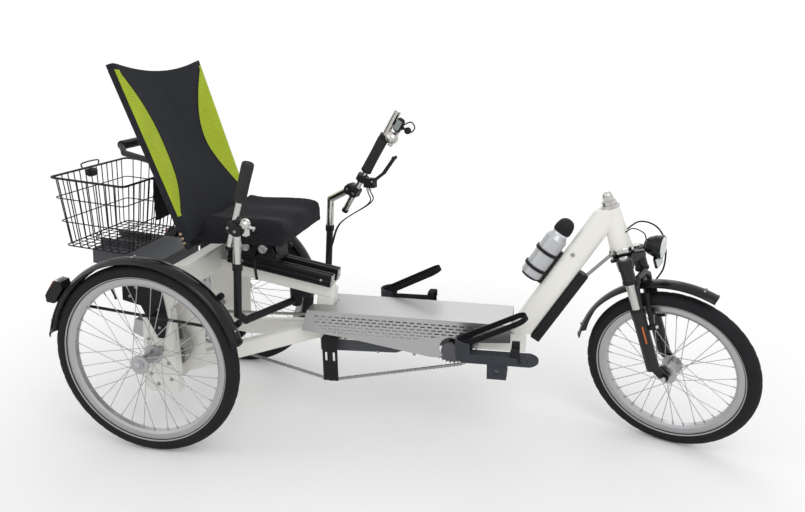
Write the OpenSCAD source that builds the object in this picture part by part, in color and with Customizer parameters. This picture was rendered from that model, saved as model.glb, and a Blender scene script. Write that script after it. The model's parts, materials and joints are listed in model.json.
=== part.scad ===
/* [Wheels] */
// Outer radius of a rear tyre
rear_r = 300; // [290:1:310]
// Outer radius of the front tyre
front_r = 250; // [244:1:256]
// Width of a tyre
tyre_w = 46; // [42:1:50]
// Depth of a rim from its tyre seat inwards
rim_depth = 22; // [18:1:26]
// Width of a rim
rim_w = 26; // [22:1:30]
// Radius of a spoke
spoke_r = 1.1; // [0.9:0.1:1.4]
// Spokes of a wheel
spokes = 36; // [28:4:36]
// Distance from the rear axle to the front axle, steered straight
wheelbase = 1536; // [1520:1:1560]
// Distance between the middles of the rear tyres
track = 682; // [672:1:700]

/* [Steering] */
// Lean of the steering axis from upright
head_lean = 17.6; // [16:0.1:19]
// Offset of the front axle from the steering axis
fork_rake = 46; // [42:1:50]
// Turn of the fork at rest, negative to the right
rest_steer = -24; // [-30:1:30]
// Turn of the steering bar at rest, negative to the right
rest_bar = -14; // [-18:1:18]
// Height of the head tube's lower end along the steering axis
head_low = 388; // [384:1:396]
// Length of the head tube
head_len = 141; // [130:1:150]
// Radius of the head tube's lower end
head_low_r = 33; // [31:0.5:35]
// Radius of the head tube's upper end
head_top_r = 25; // [23:0.5:28]
// Radius of the fork's steerer
steerer_r = 14; // [12.5:0.5:16]

/* [Fork] */
// Sideways distance of a fork leg from the middle
leg_y = 56; // [55:0.5:60]
// Distance of a fork leg ahead of the steering axis
leg_x = 22; // [18:1:26]
// Radius of a lower leg
lower_r = 19; // [17:0.5:20]
// Radius of a stanchion
stanchion_r = 14; // [12:0.5:15]
// Height of the top of a lower leg along the steering axis
lower_top = 214; // [205:1:222]
// Height of the crown's underside along the steering axis
crown_low = 345; // [340:1:348]
// Thickness of the crown
crown_t = 32; // [28:1:36]

/* [Frame] */
// Depth of the down tube
down_d = 70; // [64:1:74]
// Width of the down tube
down_w = 54; // [50:1:58]
// Width and height of the main beam
beam_w = 60; // [54:1:64]
// Height of the main beam's middle
beam_z = 302; // [298:1:306]
// Width of a stay
stay_w = 34; // [30:1:40]
// Height of a stay
stay_h = 54; // [48:1:58]
// Thickness of the plates that carry the axle
plate_t = 5; // [4:0.5:6]
// Room between an outer axle plate and the wheel's hub
hub_room = 47; // [42:1:52]
// Distance from an outer axle plate to the inner one
plate_gap = 74; // [70:1:80]

/* [Drive] */
// Distance of the crank axle ahead of the rear axle
crank_x = 885; // [875:1:895]
// Height of the crank axle
crank_z = 296; // [292:1:298]
// Length of a crank
crank_len = 150; // [140:1:155]
// Angle of the right crank at rest, below straight ahead
crank_drop = 7; // [0:1:12]
// Teeth of the chainring
ring_teeth = 34; // [30:1:34]
// Teeth of the axle sprocket
sprocket_teeth = 20; // [18:1:22]
// Pitch of the chain
pitch = 12.7; // [12.6:0.1:12.8]
// Distance of the chain from the middle, to the right
chain_y = 40; // [39:1:44]

/* [Seat] */
// Width of the cushion
cushion_w = 390; // [370:1:400]
// Length of the cushion
cushion_l = 268; // [255:1:280]
// Thickness of the cushion
cushion_t = 60; // [50:1:70]
// Half width of the backrest at its foot
back_low_w = 227; // [222:1:232]
// Half width of the backrest at its top
back_top_w = 253; // [245:1:260]
// Radius of a backrest tube
back_tube_r = 12; // [10:0.5:13]
// Width of a seat rail
rail_w = 34; // [30:1:38]
// Height of a seat rail
rail_h = 40; // [36:1:44]

/* [Carrier] */
// Half width of the deck
deck_w = 120; // [112:1:128]
// Length of the deck
deck_l = 256; // [245:1:265]
// Thickness of the deck's box
deck_t = 50; // [44:1:54]
// Half width of the basket's rim
basket_top_w = 214; // [206:1:222]
// Half width of the basket's floor
basket_low_w = 178; // [170:1:186]
// Depth of the basket
basket_h = 228; // [215:1:240]
// Radius of the basket's rim wire
rim_wire_r = 3.5; // [3:0.5:4]
// Thickness of the basket's other wires
wire_t = 3.4; // [2.8:0.2:4]

/* [Hidden] */
$fn = 48;
// Running and seating gap between pieces
gap = 0.3;
// Sheet that covers, guards and panels are folded from
sheet_t = 3;
// Swelling of a round bar's bends and ends, and thinning of every second length
bend_swell = 0.4;
bend_shade = 0.2;

// Tyre beads sit at these radii
rear_seat_r = rear_r - tyre_w;
front_seat_r = front_r - tyre_w;
// A rim stands proud of the bead seat
rim_lip = 4;
// Angles of a tyre's section from its crown: walls, shoulders and the tread's middle
tyre_turns = [-115, -55, 0, 55, 115];
stub_r = 12;
front_axle_r = 5;
rear_hub_w = 44;
front_hub_w = 36;
// Axle plates, measured from the middle to their outer and inner faces
plate_y = track / 2 - rear_hub_w - hub_room;
inner_y = plate_y - plate_gap;
flange_r = 29;
race_r = 24;

// The front wheel leans when steered, so its height is set to touch the ground
lean_z = sin(abs(rest_steer)) * sin(head_lean);
front_sink = fork_rake * sin(head_lean) * (1 - cos(rest_steer));
front_z = front_r * sqrt(1 - lean_z * lean_z) + front_sink;
steer_foot = [wheelbase - fork_rake * cos(head_lean), 0, front_z - fork_rake * sin(head_lean)];
head_top = head_low + head_len;
// A point of the steered fork, in the vehicle's frame
function fork_point(p) =
    let (x = p.x * cos(rest_steer) - p.y * sin(rest_steer))
    let (y = p.x * sin(rest_steer) + p.y * cos(rest_steer))
    steer_foot + [x * cos(head_lean) - p.z * sin(head_lean), y, x * sin(head_lean) + p.z * cos(head_lean)];

// Carrier and basket lean back together
deck_tilt = 6;
deck_front = [-40, 0, 549];
basket_lift = 18;
basket_low_l = 214;
basket_top_l = 262;
basket_x = -207;
// Upright wires of the basket's sides and ends, rings between floor and rim, meshes of its floor
side_wires = 7;
end_wires = 13;
basket_rings = [0.36, 0.7];
floor_meshes = [6, 10];
floor_t = 2;

// The part's reach ahead and behind sets its origin at the middle of its length
lean_x = sin(abs(rest_steer)) * cos(head_lean);
front_reach = fork_point([fork_rake, 0, 0]).x + front_r * sqrt(1 - lean_x * lean_x);
rear_reach = deck_front.x + (basket_x - basket_top_l / 2) * cos(deck_tilt)
    + (basket_lift + basket_h) * sin(deck_tilt);
x_mid = (front_reach + rear_reach) / 2;

// Frame places
beam_rear = 410;
beam_front = 1110;
beam_top = beam_z + beam_w / 2;
guard_rear = 446;
down_foot = [1100, 0, 352];
down_way = [0.5345, 0, 0.8452];
down_len = 440;
stay_front = [432, 12, beam_z - 3];
stay_rear = [30, inner_y - 6, rear_r - 84];
cross_x = 90;
cross_z = 536;
cross_w = 56;
cross_h = 76;
low_cross_z = rear_r - 108;
low_cross_w = 34;
side_plate_t = 4;

// Seat line: the rails lean back along it, over the seat beam
seat_front = [496, 0, 478];
seat_lean = 11.4;
rail_l = 352;
rail_y = 36;
seat_beam_w = 56;
seat_beam_h = 46;
post_foot = [450, 0, 300];
post_head = [474, 0, 446];
post_w = 50;
post_d = 56;
cushion_rear = 140;
cushion_z = 640;
pan_t = 12;
back_foot = [112, 0, 628];
back_head = [-54, 0, 1140];

// Drive
ring_r = pitch / (2 * sin(180 / ring_teeth));
sprocket_r = pitch / (2 * sin(180 / sprocket_teeth));
chain_clear = 3;
chain_h = 9;
chain_w = 7;
idler_x = 482;
idler_z = 152;
idler_r = 14;
axle_r = 12;
// Teeth reach from below the pitch circle to above it
tooth_h = 3;
tooth_top = 2.1;
crank_y = 98;
crank_t = 12;
pedal_r = 7;
foot_in = 116;
foot_w = 80;
foot_up = 24;

// Steering bar, in the frame of its pivot
bar_pivot = [360, 0, 396];
bar_r = 12;
handle_r = 10.2;
// Bare end of the left handle, for a clamp
handle_seat = 90;
handle_seat_r = 11.1;
bar_y = 262;
bar_pin_r = 8;
hub_h = 26;
// Columns: side, clamp x, clamp z, tube foot x and z, tube head x and z, grip start and end along the tube
handles = [
    [-1, -4, 296, -46, 238, 46, 488, 150, 262],
    [1, 72, 328, 45, 250, 258, 596, 170, 300]];

// Brakes
disc_y = plate_y - 44;
disc_r = 80;

// Mudguards: crown radius over the wheel, half width and crowning radius
rear_guard_r = rear_r + 22;
front_guard_r = front_r + 37;
guard_w = 30;
guard_crown = 40;
// Bar of a rear mudguard: angles of its ends above the axle's front, and its distance inside the guard
guard_bar = [16, 152];
guard_bar_in = 9;
function guard_bar_at(a) = [(rear_guard_r - guard_bar_in) * cos(a), (rear_guard_r - guard_bar_in) * sin(a)];

// Folded cover: its ends, half width, top line at both ends and lowest point
cover_rear = 404;
cover_front = 1066;
cover_half = 88;
cover_top = [392, 382];
cover_low = 262;
cover_t = 2;
// Its rear edge slopes over this length
cover_slope = 22;
// Brackets on the beam that the cover's top rests on
cover_posts = [640, 990];
cover_post_l = 26;
cover_flat = cover_rear + cover_slope;
function cover_under(x) = cover_top[0] - cover_t
    + (cover_top[1] - cover_top[0]) * (x - cover_flat) / (cover_front - cover_flat);

// Bottle over the down tube
bottle_r = 33;
bottle_seat = 8;
bottle_off = down_d / 2 + bottle_seat + bottle_r;
bottle_foot = down_foot + down_way * 150 + [-down_way.z, 0, down_way.x] * bottle_off;

// Steering arm of the fork: its eye beside the steering axis, and the rod's ball over it
rod_arm = [-14, -44];
rod_lift = 9;
rod_ball_r = 7;
tie_r = 5;
// Length of the rod inside its channel, and the depth it can slide to
rod_tail = 46;
rod_depth = 62;
// Channel of the steering rod, under the down tube
channel_t = 30;
channel_w = 40;
channel_way = [down_way.z, 0, -down_way.x];
channel_off = down_d / 2 + channel_t / 2 + gap;
channel_foot = down_foot - down_way * 12 + channel_way * channel_off;
channel_head = down_foot + down_way * 241 + channel_way * channel_off;
// The rod leaves the channel's mouth low and to the right, and ends over the arm
rod_mouth = channel_head + channel_way * 8 - [0, 9, 0];
rod_eye = fork_point([rod_arm.x, rod_arm.y, crown_low + crown_t + rod_lift + rod_ball_r + gap]);
rod_way = (rod_eye - rod_mouth) / norm(rod_eye - rod_mouth);

// Lamp, in the fork's frame
lamp_mid = [84, 0, 392];

// Heel of a foot plate, from its pedal axle
heel_x = -82;
heel_r = 43;

// Colours
white = [0.93, 0.93, 0.90];
black = [0.06, 0.06, 0.07];
grey = [0.25, 0.26, 0.29];
silver = [0.75, 0.76, 0.78];
chrome = [0.85, 0.86, 0.88];
alu = [0.80, 0.81, 0.82];
cloth = [0.10, 0.11, 0.13];

// The part's frame: the ground under the middle of its length
module placed() translate([-x_mid, 0, 0]) children();

// The left copy of a right-hand piece
module left() mirror([0, 1, 0]) children();

// A round bar between two points
module rod(a, b, r) {
    d = b - a;
    translate(a) rotate([0, acos(d.z / norm(d)), atan2(d.y, d.x)]) cylinder(h = norm(d), r = r);
}

// A round bar bent at its inner points, with a ball at each bend; every second length is a shade thinner
module bent_rod(p, r) {
    for (i = [0 : len(p) - 2]) rod(p[i], p[i + 1], r - i % 2 * bend_shade);
    for (i = [1 : 1 : len(p) - 2]) translate(p[i]) sphere(r = r + bend_swell);
}

// A rectangle with round corners
module round_rect(w, h, r) {
    square([w - 2 * r, h], center = true);
    square([w, h - 2 * r], center = true);
    for (x = [-1, 1], y = [-1, 1]) translate([x * (w / 2 - r), y * (h / 2 - r)]) circle(r);
}

// A slot shape from one centre along X
module stadium(l, r) {
    translate([0, -r]) square([l, 2 * r]);
    circle(r);
    translate([l, 0]) circle(r);
}

// A box tube between two points, w wide and h tall
module bar(a, b, w, h, r) {
    d = b - a;
    translate(a) rotate([0, acos(d.z / norm(d)), atan2(d.y, d.x)])
        linear_extrude(norm(d)) round_rect(h, w, r);
}

// A sheet standing lengthwise: its outline in X and Z, its outer face at y to the right
module upright_sheet(y, t) translate([0, -y, 0]) rotate([90, 0, 0]) linear_extrude(t) children();

// A cylinder across the vehicle, from y to y + h to the right
module across(y, h, r) translate([0, -y, 0]) rotate([90, 0, 0]) cylinder(h = h, r = r);

// A solid turned about the sideways axis, from a profile of radius and width
module turned(angle = 360) rotate([90, 0, 0]) rotate_extrude(angle = angle) children();

// The fork's own frame: its axis upright, its rake ahead
module head_frame() translate(steer_foot) rotate([0, -head_lean, 0]) children();
module steered() head_frame() rotate([0, 0, rest_steer]) children();

// Frames of the steering bar, the deck and the seat line
module bar_frame() translate(bar_pivot) rotate([0, 0, rest_bar]) children();
module deck_frame() translate(deck_front) rotate([0, deck_tilt, 0]) children();
module seat_line() translate(seat_front) rotate([0, seat_lean, 0]) children();

// Frame: down tube and head tube with its bore
module front_frame() color(white) difference() {
    union() {
        difference() {
            bar(down_foot - down_way * 30, down_foot + down_way * down_len, down_w, down_d, 24);
            head_frame() translate([-200, -100, head_top - 6]) cube([400, 200, 200]);
            head_frame() translate([head_top_r - 6, -100, 200]) cube([200, 200, 400]);
        }
        head_frame() translate([0, 0, head_low]) cylinder(h = head_len, r1 = head_low_r, r2 = head_top_r);
    }
    head_frame() translate([0, 0, head_low - 60]) cylinder(h = head_len + 160, r = steerer_r + gap);
    translate([down_foot.x - 120, -100, 0]) cube([300, 200, beam_top]);
}

// Main beam, the stays that part behind it and the inner axle plates
module main_beam() color(white) difference() {
    union() {
        bar([beam_rear, 0, beam_z], [beam_front, 0, beam_z], beam_w, beam_w, 8);
        for (s = [-1, 1]) {
            bar([stay_front.x, s * stay_front.y, stay_front.z], [stay_rear.x, s * stay_rear.y, stay_rear.z],
                stay_w, stay_h, 8);
            translate([0, s * (inner_y + plate_t), 0]) rotate([90, 0, 0])
                linear_extrude(plate_t, center = true) inner_plate_outline();
        }
        translate([0, inner_y + plate_t, low_cross_z]) rotate([90, 0, 0])
            linear_extrude(2 * inner_y + 2 * plate_t) round_rect(low_cross_w, low_cross_w, 6);
        translate([crank_x, 0, crank_z]) across(-beam_w / 2 - 4, beam_w + 8, axle_r + 10);
        for (x = cover_posts) translate([x, -beam_w / 3, beam_z])
            cube([cover_post_l, 2 * beam_w / 3, cover_under(x + cover_post_l) - gap - beam_z]);
    }
    translate([0, 0, rear_r]) across(-300, 600, stub_r + gap);
    translate([crank_x, 0, crank_z]) across(-100, 200, axle_r + gap);
    for (s = [-1, 1]) translate([-100, s * (inner_y + plate_t * 1.5 + 100) - 100, 0]) cube([300, 200, 500]);
}
module inner_plate_outline() {
    polygon([[-40, rear_r - 120], [-40, rear_r + 140], [70, cross_z - cross_h / 2],
        [118, cross_z - cross_h / 2], [118, rear_r + 120], [110, rear_r - 40], [34, rear_r - 120]]);
}

// Seat post and the beam under the seat rails
module seat_mast() color(white) difference() {
    union() {
        bar(post_foot, post_head, post_w, post_d, 8);
        seat_line() translate([-rail_l - 60, 0, -rail_h / 2 - seat_beam_h / 2]) rotate([0, 90, 0])
            linear_extrude(rail_l + 60) round_rect(seat_beam_h, seat_beam_w, 8);
    }
    translate([300, -100, beam_top - 200]) cube([400, 200, 200]);
    translate([cross_x + cross_w / 2 - 200, -100, 300]) cube([200, 200, 400]);
    seat_line() translate([-100, -100, -rail_h / 2]) cube([200, 200, 100]);
}

// Beam across the rear, over the axle
module cross_beam() color(white) translate([cross_x, plate_y, cross_z]) rotate([90, 0, 0])
    linear_extrude(2 * plate_y) round_rect(cross_w, cross_h, 10);

// Folded plate outside the disc, with slots down its front flange
module axle_plate_right() color(white) difference() {
    union() {
        upright_sheet(plate_y, plate_t) {
            cross_front = cross_x + cross_w / 2;
            cross_top = cross_z + cross_h / 2;
            polygon([[-74, rear_r - 118], [-52, rear_r + 100], [20, cross_top], [cross_front, cross_top],
                [cross_front, cross_top - cross_h], [44, rear_r + 130], [44, rear_r - 150],
                [-42, rear_r - 150]]);
            translate([-42, rear_r - 118]) circle(32);
        }
        translate([44 - plate_t, -plate_y - plate_t, rear_r - 150]) cube([plate_t, 36, 276]);
        translate([0, 0, rear_r]) across(plate_y - 10, plate_t + 16, stub_r + 12);
    }
    translate([0, 0, rear_r]) across(plate_y - 20, 60, stub_r + gap);
    for (z = [30, 50, 100]) translate([30, -plate_y + 14, rear_r + z]) rotate([0, 90, 0])
        linear_extrude(30) translate([-6, 0]) stadium(12, 3.5);
}
module axle_plate_left() left() axle_plate_right();

// Black plate from the deck's bars down to a point on the axle plate
module side_plate_right() color(black) upright_sheet(plate_y + plate_t + gap, side_plate_t)
    polygon([[-112, rear_r + 155], [-104, deck_front.z + 11], [10, deck_front.z + 31], [30, rear_r + 140],
        [34, rear_r + 100], [16, rear_r + 36], [-4, rear_r + 36], [-34, rear_r + 100], [-52, rear_r + 140]]);
module side_plate_left() left() side_plate_right();

// Flat deck of the carrier, its cross bars and the basket's clips
module rear_deck() color(grey) {
    deck_frame() translate([-deck_l, -deck_w, -deck_t]) cube([deck_l, 2 * deck_w, deck_t]);
    for (x = [-20, -46]) {
        p = deck_front + [x, 0, -deck_t / 2 - x * tan(deck_tilt)];
        rod(p + [0, -plate_y - plate_t, 0], p + [0, plate_y + plate_t, 0], 7);
    }
    deck_frame() for (y = [-60, 48]) translate([basket_x - 60, y, -1])
        cube([120, 12, basket_lift + 1 - gap]);
}

// Wire basket, open at the top: a meshed floor, two sides and two ends that close the corners
module basket() color(black) deck_frame() translate([basket_x, 0, basket_lift]) {
    low = [basket_low_l / 2 - wire_t / 2, basket_low_w - wire_t / 2];
    top = [basket_top_l / 2 - rim_wire_r, basket_top_w - rim_wire_r];
    lean = atan2(top.y - low.y, basket_h);
    corner = rim_wire_r * (cos(lean) + 2 * sin(lean)) + gap;
    for (a = [0, 180]) rotate(a) basket_wall(low.x, top.x, low.y, top.y, side_wires);
    for (a = [90, 270]) rotate(a) basket_wall(low.y - corner, top.y - corner, low.x, top.x, end_wires);
    linear_extrude(floor_t) basket_floor(low.x - wire_t / 2 - gap, low.y - wire_t / 2 - gap);
}
// A wall leaning out from its foot: half lengths, distances of foot and top from the middle, upright wires
module basket_wall(low, top, low_off, top_off, wires) {
    rise = norm([top_off - low_off, basket_h]);
    translate([0, -low_off, 0]) rotate([90 + atan2(top_off - low_off, basket_h), 0, 0]) {
        linear_extrude(wire_t, center = true) {
            for (i = [0 : wires - 1]) {
                t = 2 * i / (wires - 1) - 1;
                foot = t * (low - wire_t / 2);
                head = t * (top - wire_t / 2);
                polygon([[foot - wire_t / 2, 0], [foot + wire_t / 2, 0], [head + wire_t / 2, rise - 1],
                    [head - wire_t / 2, rise - 1]]);
            }
            for (f = [0, each basket_rings]) {
                half = low + f * (top - low) - 0.4;
                translate([-half, f * rise]) square([2 * half, wire_t + 0.4]);
            }
        }
        translate([-top, rise - 2 * rim_wire_r, -rim_wire_r])
            cube([2 * top, 2 * rim_wire_r, 2 * rim_wire_r]);
    }
}
module basket_floor(half_l, half_w) difference() {
    square([2 * half_l, 2 * half_w], center = true);
    mesh = [2 * half_l / floor_meshes.x, 2 * half_w / floor_meshes.y];
    for (i = [0 : floor_meshes.x - 1], j = [0 : floor_meshes.y - 1])
        translate([(i + 0.5) * mesh.x - half_l, (j + 0.5) * mesh.y - half_w])
            square([mesh.x - wire_t, mesh.y - wire_t], center = true);
}

// Crowned sheet over a tyre, swept from angle a to angle b above the axle's front
module guard(r, w, a, b) rotate([0, -a, 0]) turned(b - a) difference() {
    translate([r - guard_crown, 0]) circle(guard_crown);
    translate([r - guard_crown, 0]) circle(guard_crown - sheet_t);
    chord = sqrt(guard_crown * guard_crown - w * w);
    translate([r - 3 * guard_crown, -guard_crown]) square([2 * guard_crown + chord, 2 * guard_crown]);
}

// Mudguard of a rear wheel with the bar that holds it to the side plate
module rear_mudguard_right() color(black) {
    translate([0, -track / 2, rear_r]) guard(rear_guard_r, guard_w, 13, 168);
    stay_y = track / 2 - guard_w - 20;
    front = guard_bar_at(guard_bar[0]);
    rear = guard_bar_at(guard_bar[1]);
    lip_y = track / 2 - guard_w + 3;
    bent_rod([[rear.x, -lip_y, rear_r + rear.y], [rear.x, -stay_y, rear_r + rear.y],
        [front.x, -stay_y, rear_r + front.y], [front.x, -lip_y, rear_r + front.y]], 5);
    strut_z = rear.y + (front.y - rear.y) * rear.x / (rear.x - front.x);
    strut_y = plate_y + plate_t + side_plate_t + 2 * gap;
    translate([0, 0, rear_r + strut_z]) across(strut_y, stay_y - strut_y, 6);
}
module rear_mudguard_left() left() rear_mudguard_right();

// Lamp on the tail of a rear mudguard
module tail_light_right() color(black) translate([0, -track / 2, rear_r]) rotate([0, -143, 0])
    translate([rear_guard_r + gap, 0, 0]) rotate([90, 0, 0]) linear_extrude(44, center = true)
        polygon([[0, -30], [16, -44], [34, -34], [36, 26], [22, 42], [0, 30]]);
module tail_light_left() left() tail_light_right();

// Brake caliper on the axle plate, round the disc's edge
module caliper_right() color(silver) difference() {
    upright_sheet(disc_y - 14, plate_y - disc_y + 14 - gap) translate([0, rear_r])
        polygon([[-98, 46], [-84, 90], [-52, 84], [-46, 46], [-66, 30]]);
    translate([0, 0, rear_r]) across(disc_y - 3, 8, disc_r + 5);
}
module caliper_left() left() caliper_right();

// Two grooved extrusions that the seat slides on
module seat_rail() color(black) seat_line() for (s = [-1, 1]) translate([-rail_l, s * rail_y, 0])
    rotate([0, 90, 0]) linear_extrude(rail_l) difference() {
        round_rect(rail_h, rail_w, 3);
        for (z = [-8, 8]) translate([z, s * rail_w / 2]) square([6, 8], center = true);
        translate([-rail_h / 2, 0]) square([8, 8], center = true);
    }

// Clamp on the rails, pillar and pan under the cushion
module seat_carriage() color(black) {
    difference() {
        translate([190, -52, 520]) cube([130, 104, cushion_z - pan_t - 520]);
        seat_line() translate([-600, -200, -200]) cube([800, 400, 200 + rail_h / 2 + gap]);
    }
    pan_rear = back_foot.x + back_tube_r + gap;
    translate([pan_rear, -cushion_w / 2 + 15, cushion_z - pan_t - gap])
        cube([cushion_rear + cushion_l - 15 - pan_rear, cushion_w - 30, pan_t]);
}

// Cushion
module seat_cushion() color(cloth) translate([cushion_rear + cushion_l / 2, 0, cushion_z])
    linear_extrude(cushion_t) round_rect(cushion_l, cushion_w, 50);

// Tubes of the backrest, with the push bar behind
module back_frame() color(black) {
    for (s = [-1, 1]) {
        low = [back_foot.x, s * back_low_w, back_foot.z];
        high = [back_head.x, s * back_top_w, back_head.z];
        rod(low, high, back_tube_r);
        translate(high) sphere(r = back_tube_r + bend_swell);
        translate(low) sphere(r = back_tube_r + bend_swell);
        bent_rod([low + (high - low) * 0.5, [-90, s * 190, 900], [-122, s * 150, 918]], 9);
    }
    rod([back_foot.x, -back_low_w, back_foot.z], [back_foot.x, back_low_w, back_foot.z], back_tube_r);
    rod([-122, -150, 918], [-122, 150, 918], 14);
}

// Cloth of the backrest between its tubes
module back_fabric() color(cloth) {
    in = back_tube_r + 8 + gap;
    hull() for (s = [-1, 1]) rod([back_foot.x - 10, s * (back_low_w - in), back_foot.z + 34],
        [back_head.x, s * (back_top_w - in), back_head.z], 8);
}

// Folded perforated cover over the main beam
module cover_outline() difference() {
    polygon([[cover_rear, 322], [cover_rear + cover_slope, cover_top[0]], [cover_front, cover_top[1]],
        [cover_front, 326], [930, 318], [850, cover_low], [820, cover_low], [560, 305]]);
    translate([crank_x, crank_z]) circle(34);
}
module cover_slots() for (row = [0 : 5], i = [0 : 24]) {
    x = 450 + row % 2 * 11 + i * 22;
    z = 372 - row * 10 - i * 0.3;
    translate([x, z]) square([15, 4]);
}
module deck_cover() color(alu) {
    for (y = [-cover_half, cover_half - cover_t]) upright_sheet(y, cover_t) difference() {
        cover_outline();
        intersection() {
            cover_slots();
            polygon([[cover_rear + 30, 330], [cover_rear + 30, cover_top[0] - 8],
                [cover_front - 20, cover_top[1] - 8], [cover_front - 20, 345], [900, 338],
                [700, 306], [560, 318]]);
        }
    }
    difference() {
        upright_sheet(cover_t - cover_half, 2 * cover_half - 2 * cover_t)
            polygon([[cover_rear + cover_slope, cover_top[0]], [cover_front, cover_top[1]],
                [cover_front, cover_top[1] - cover_t], [cover_rear + cover_slope, cover_top[0] - cover_t]]);
        translate([post_foot.x - 40, -post_w / 2 - 2, 300]) cube([90, post_w + 4, 200]);
        bar(down_foot - down_way * 30, down_foot + down_way * down_len, down_w + 2, down_d + 2, 24);
    }
}

// Dark channel under the main beam
module beam_guard() color(grey) translate([0, 26, 0]) rotate([90, 0, 0]) linear_extrude(52)
    polygon([[guard_rear, beam_z - beam_w / 2 - gap], [780, beam_z - beam_w / 2 - gap],
        [700, 240], [guard_rear, 232]]);

// Chain tensioner: slotted bracket on the beam and a roller
module chain_tensioner() color(black) {
    difference() {
        union() {
            translate([462, -62, 140]) cube([50, 4, 152]);
            translate([462, -62, 282]) cube([50, 62 - beam_w / 2 - gap, 10]);
        }
        for (x = [474, 500]) translate([x, -50, 225]) rotate([90, 90, 0]) linear_extrude(30)
            translate([-12, 0]) stadium(24, 4);
    }
    translate([idler_x, 0, idler_z]) across(chain_y - 8, 62 - chain_y + 5, 5);
    translate([idler_x, 0, idler_z]) across(chain_y - 5, 10, idler_r);
}

// Toothed disc of a chain wheel: a tooth stands on every pitch of its circle
module toothed(r, teeth, holes, hole_at, hole_r) difference() {
    union() {
        circle(r - tooth_h);
        for (i = [0 : teeth - 1]) rotate(i * 360 / teeth)
            polygon([[r - tooth_h - 2, -3.2], [r + tooth_top, -1.2], [r + tooth_top, 1.2],
                [r - tooth_h - 2, 3.2]]);
    }
    for (i = [0 : holes - 1]) rotate(i * 360 / holes) translate([hole_at, 0]) circle(hole_r);
}

// Chain, one loop round ring, sprocket and roller
module chain() color(silver) upright_sheet(chain_y - chain_w / 2, chain_w) difference() {
    chain_path(chain_clear + chain_h);
    chain_path(chain_clear);
}
module chain_path(grow) hull() {
    translate([0, rear_r]) circle(sprocket_r + grow);
    translate([crank_x, crank_z]) circle(ring_r + grow);
    translate([idler_x, idler_z]) circle(idler_r + grow - chain_clear + gap);
}

// Differential with its sprocket, on the half shafts
module axle_drive() color(silver) translate([0, 0, rear_r]) difference() {
    union() {
        across(-46, 92, 30);
        across(-30, 60, 36);
        upright_sheet(chain_y - 1.2, 2.4) toothed(sprocket_r, sprocket_teeth, 0, 0, 0);
    }
    across(-100, 200, stub_r + gap);
}

// Bottle over the down tube
module bottle_frame() translate(bottle_foot) rotate([0, atan2(down_way.x, down_way.z), 0]) children();
module bottle() color(silver) bottle_frame() {
    rotate_extrude() polygon([[0, 0], [bottle_r - 4, 0], [bottle_r, 4], [bottle_r, 135],
        [bottle_r - 10, 152], [bottle_r - 11, 156], [bottle_r - 11, 160], [0, 160]]);
    translate([0, 0, 160]) cylinder(h = 18, r = 25);
    translate([0, 0, 178]) sphere(r = 25);
}

// Cage: a back strip on the down tube, two hoops and a foot
module bottle_cage() color(black) bottle_frame() {
    translate([bottle_r + gap, -9, -6]) cube([bottle_seat - 2 * gap, 18, 116]);
    for (z = [26, 84]) translate([0, 0, z]) rotate([0, 0, 11]) rotate_extrude(angle = 338)
        translate([bottle_r + gap, 0]) square([4, 9]);
    translate([0, 0, -6]) cylinder(h = 5.7, r = bottle_r - 6);
    translate([0, -9, -6]) cube([bottle_r + 4, 18, 5.7]);
}

// Channel of the steering rod, along the underside of the down tube
module rod_channel() color(black) difference() {
    bar(channel_foot, channel_head, channel_w, channel_t, 4);
    rod(rod_mouth - rod_way * rod_depth, rod_mouth + rod_way * 60, tie_r + gap);
    translate([down_foot.x - 100, -100, 0]) cube([100 + beam_front + gap - down_foot.x, 200, beam_top]);
}

// Pin and bracket that the steering bar turns on
module bar_bracket() color(black) difference() {
    union() {
        translate(bar_pivot + [0, 0, hub_h / 2 + gap]) cylinder(h = 60, r = 20);
        translate(bar_pivot + [0, 0, -hub_h / 2 - 8]) cylinder(h = 60, r = bar_pin_r);
        translate(bar_pivot + [0, 0, -hub_h / 2 - 8]) cylinder(h = 8 - gap, r = 15);
        translate(bar_pivot + [0, -20, hub_h / 2 + gap]) cube([60, 40, 60]);
    }
    seat_line() translate([-600, -200, -rail_h / 2 - seat_beam_h - gap]) cube([800, 400, 300]);
    translate(post_foot + [-post_d / 2 - 3, -100, 0]) cube([200, 200, 300]);
}

// Suspension fork: steerer, crown, legs, arch and dropouts
module fork() color(black) steered() {
    translate([0, 0, crown_low]) cylinder(h = head_top + 18 - crown_low, r = steerer_r);
    translate([0, 0, crown_low]) cylinder(h = head_low - gap - crown_low, r = race_r);
    for (s = [-1, 1]) {
        translate([0, 0, crown_low]) linear_extrude(crown_t) hull() {
            circle(26);
            translate([leg_x, s * leg_y]) circle(lower_r + 2);
        }
        translate([leg_x, s * leg_y, lower_top - 20])
            cylinder(h = crown_low - lower_top + 22, r = stanchion_r);
        translate([leg_x, s * leg_y, crown_low - 40]) cylinder(h = 42, r = lower_r);
        translate([leg_x, s * leg_y, 30]) cylinder(h = lower_top - 30, r = lower_r);
        translate([leg_x, s * leg_y, lower_top - 10]) cylinder(h = 14, r = lower_r + 1.5);
        translate([fork_rake, 0, 0]) across(s < 0 ? leg_y - 2 : -leg_y - 7, 9, 9);
        translate([0, s * (leg_y - 5) + 4, 0]) rotate([90, 0, 0]) linear_extrude(8) dropout_outline();
    }
    arch_x = leg_x + 14;
    bent_rod([[leg_x + 8, -leg_y, lower_top - 14], [arch_x, -leg_y + 2, 288], [arch_x, -30, 306],
        [arch_x, 30, 306], [arch_x, leg_y - 2, 288], [leg_x + 8, leg_y, lower_top - 14]], 9);
    translate([fork_rake, 0, 0]) across(-leg_y, 2 * leg_y, front_axle_r);
    translate([0, 0, crown_low + crown_t - 8]) linear_extrude(8) hull() {
        circle(20);
        translate(rod_arm) circle(8);
    }
}
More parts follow.
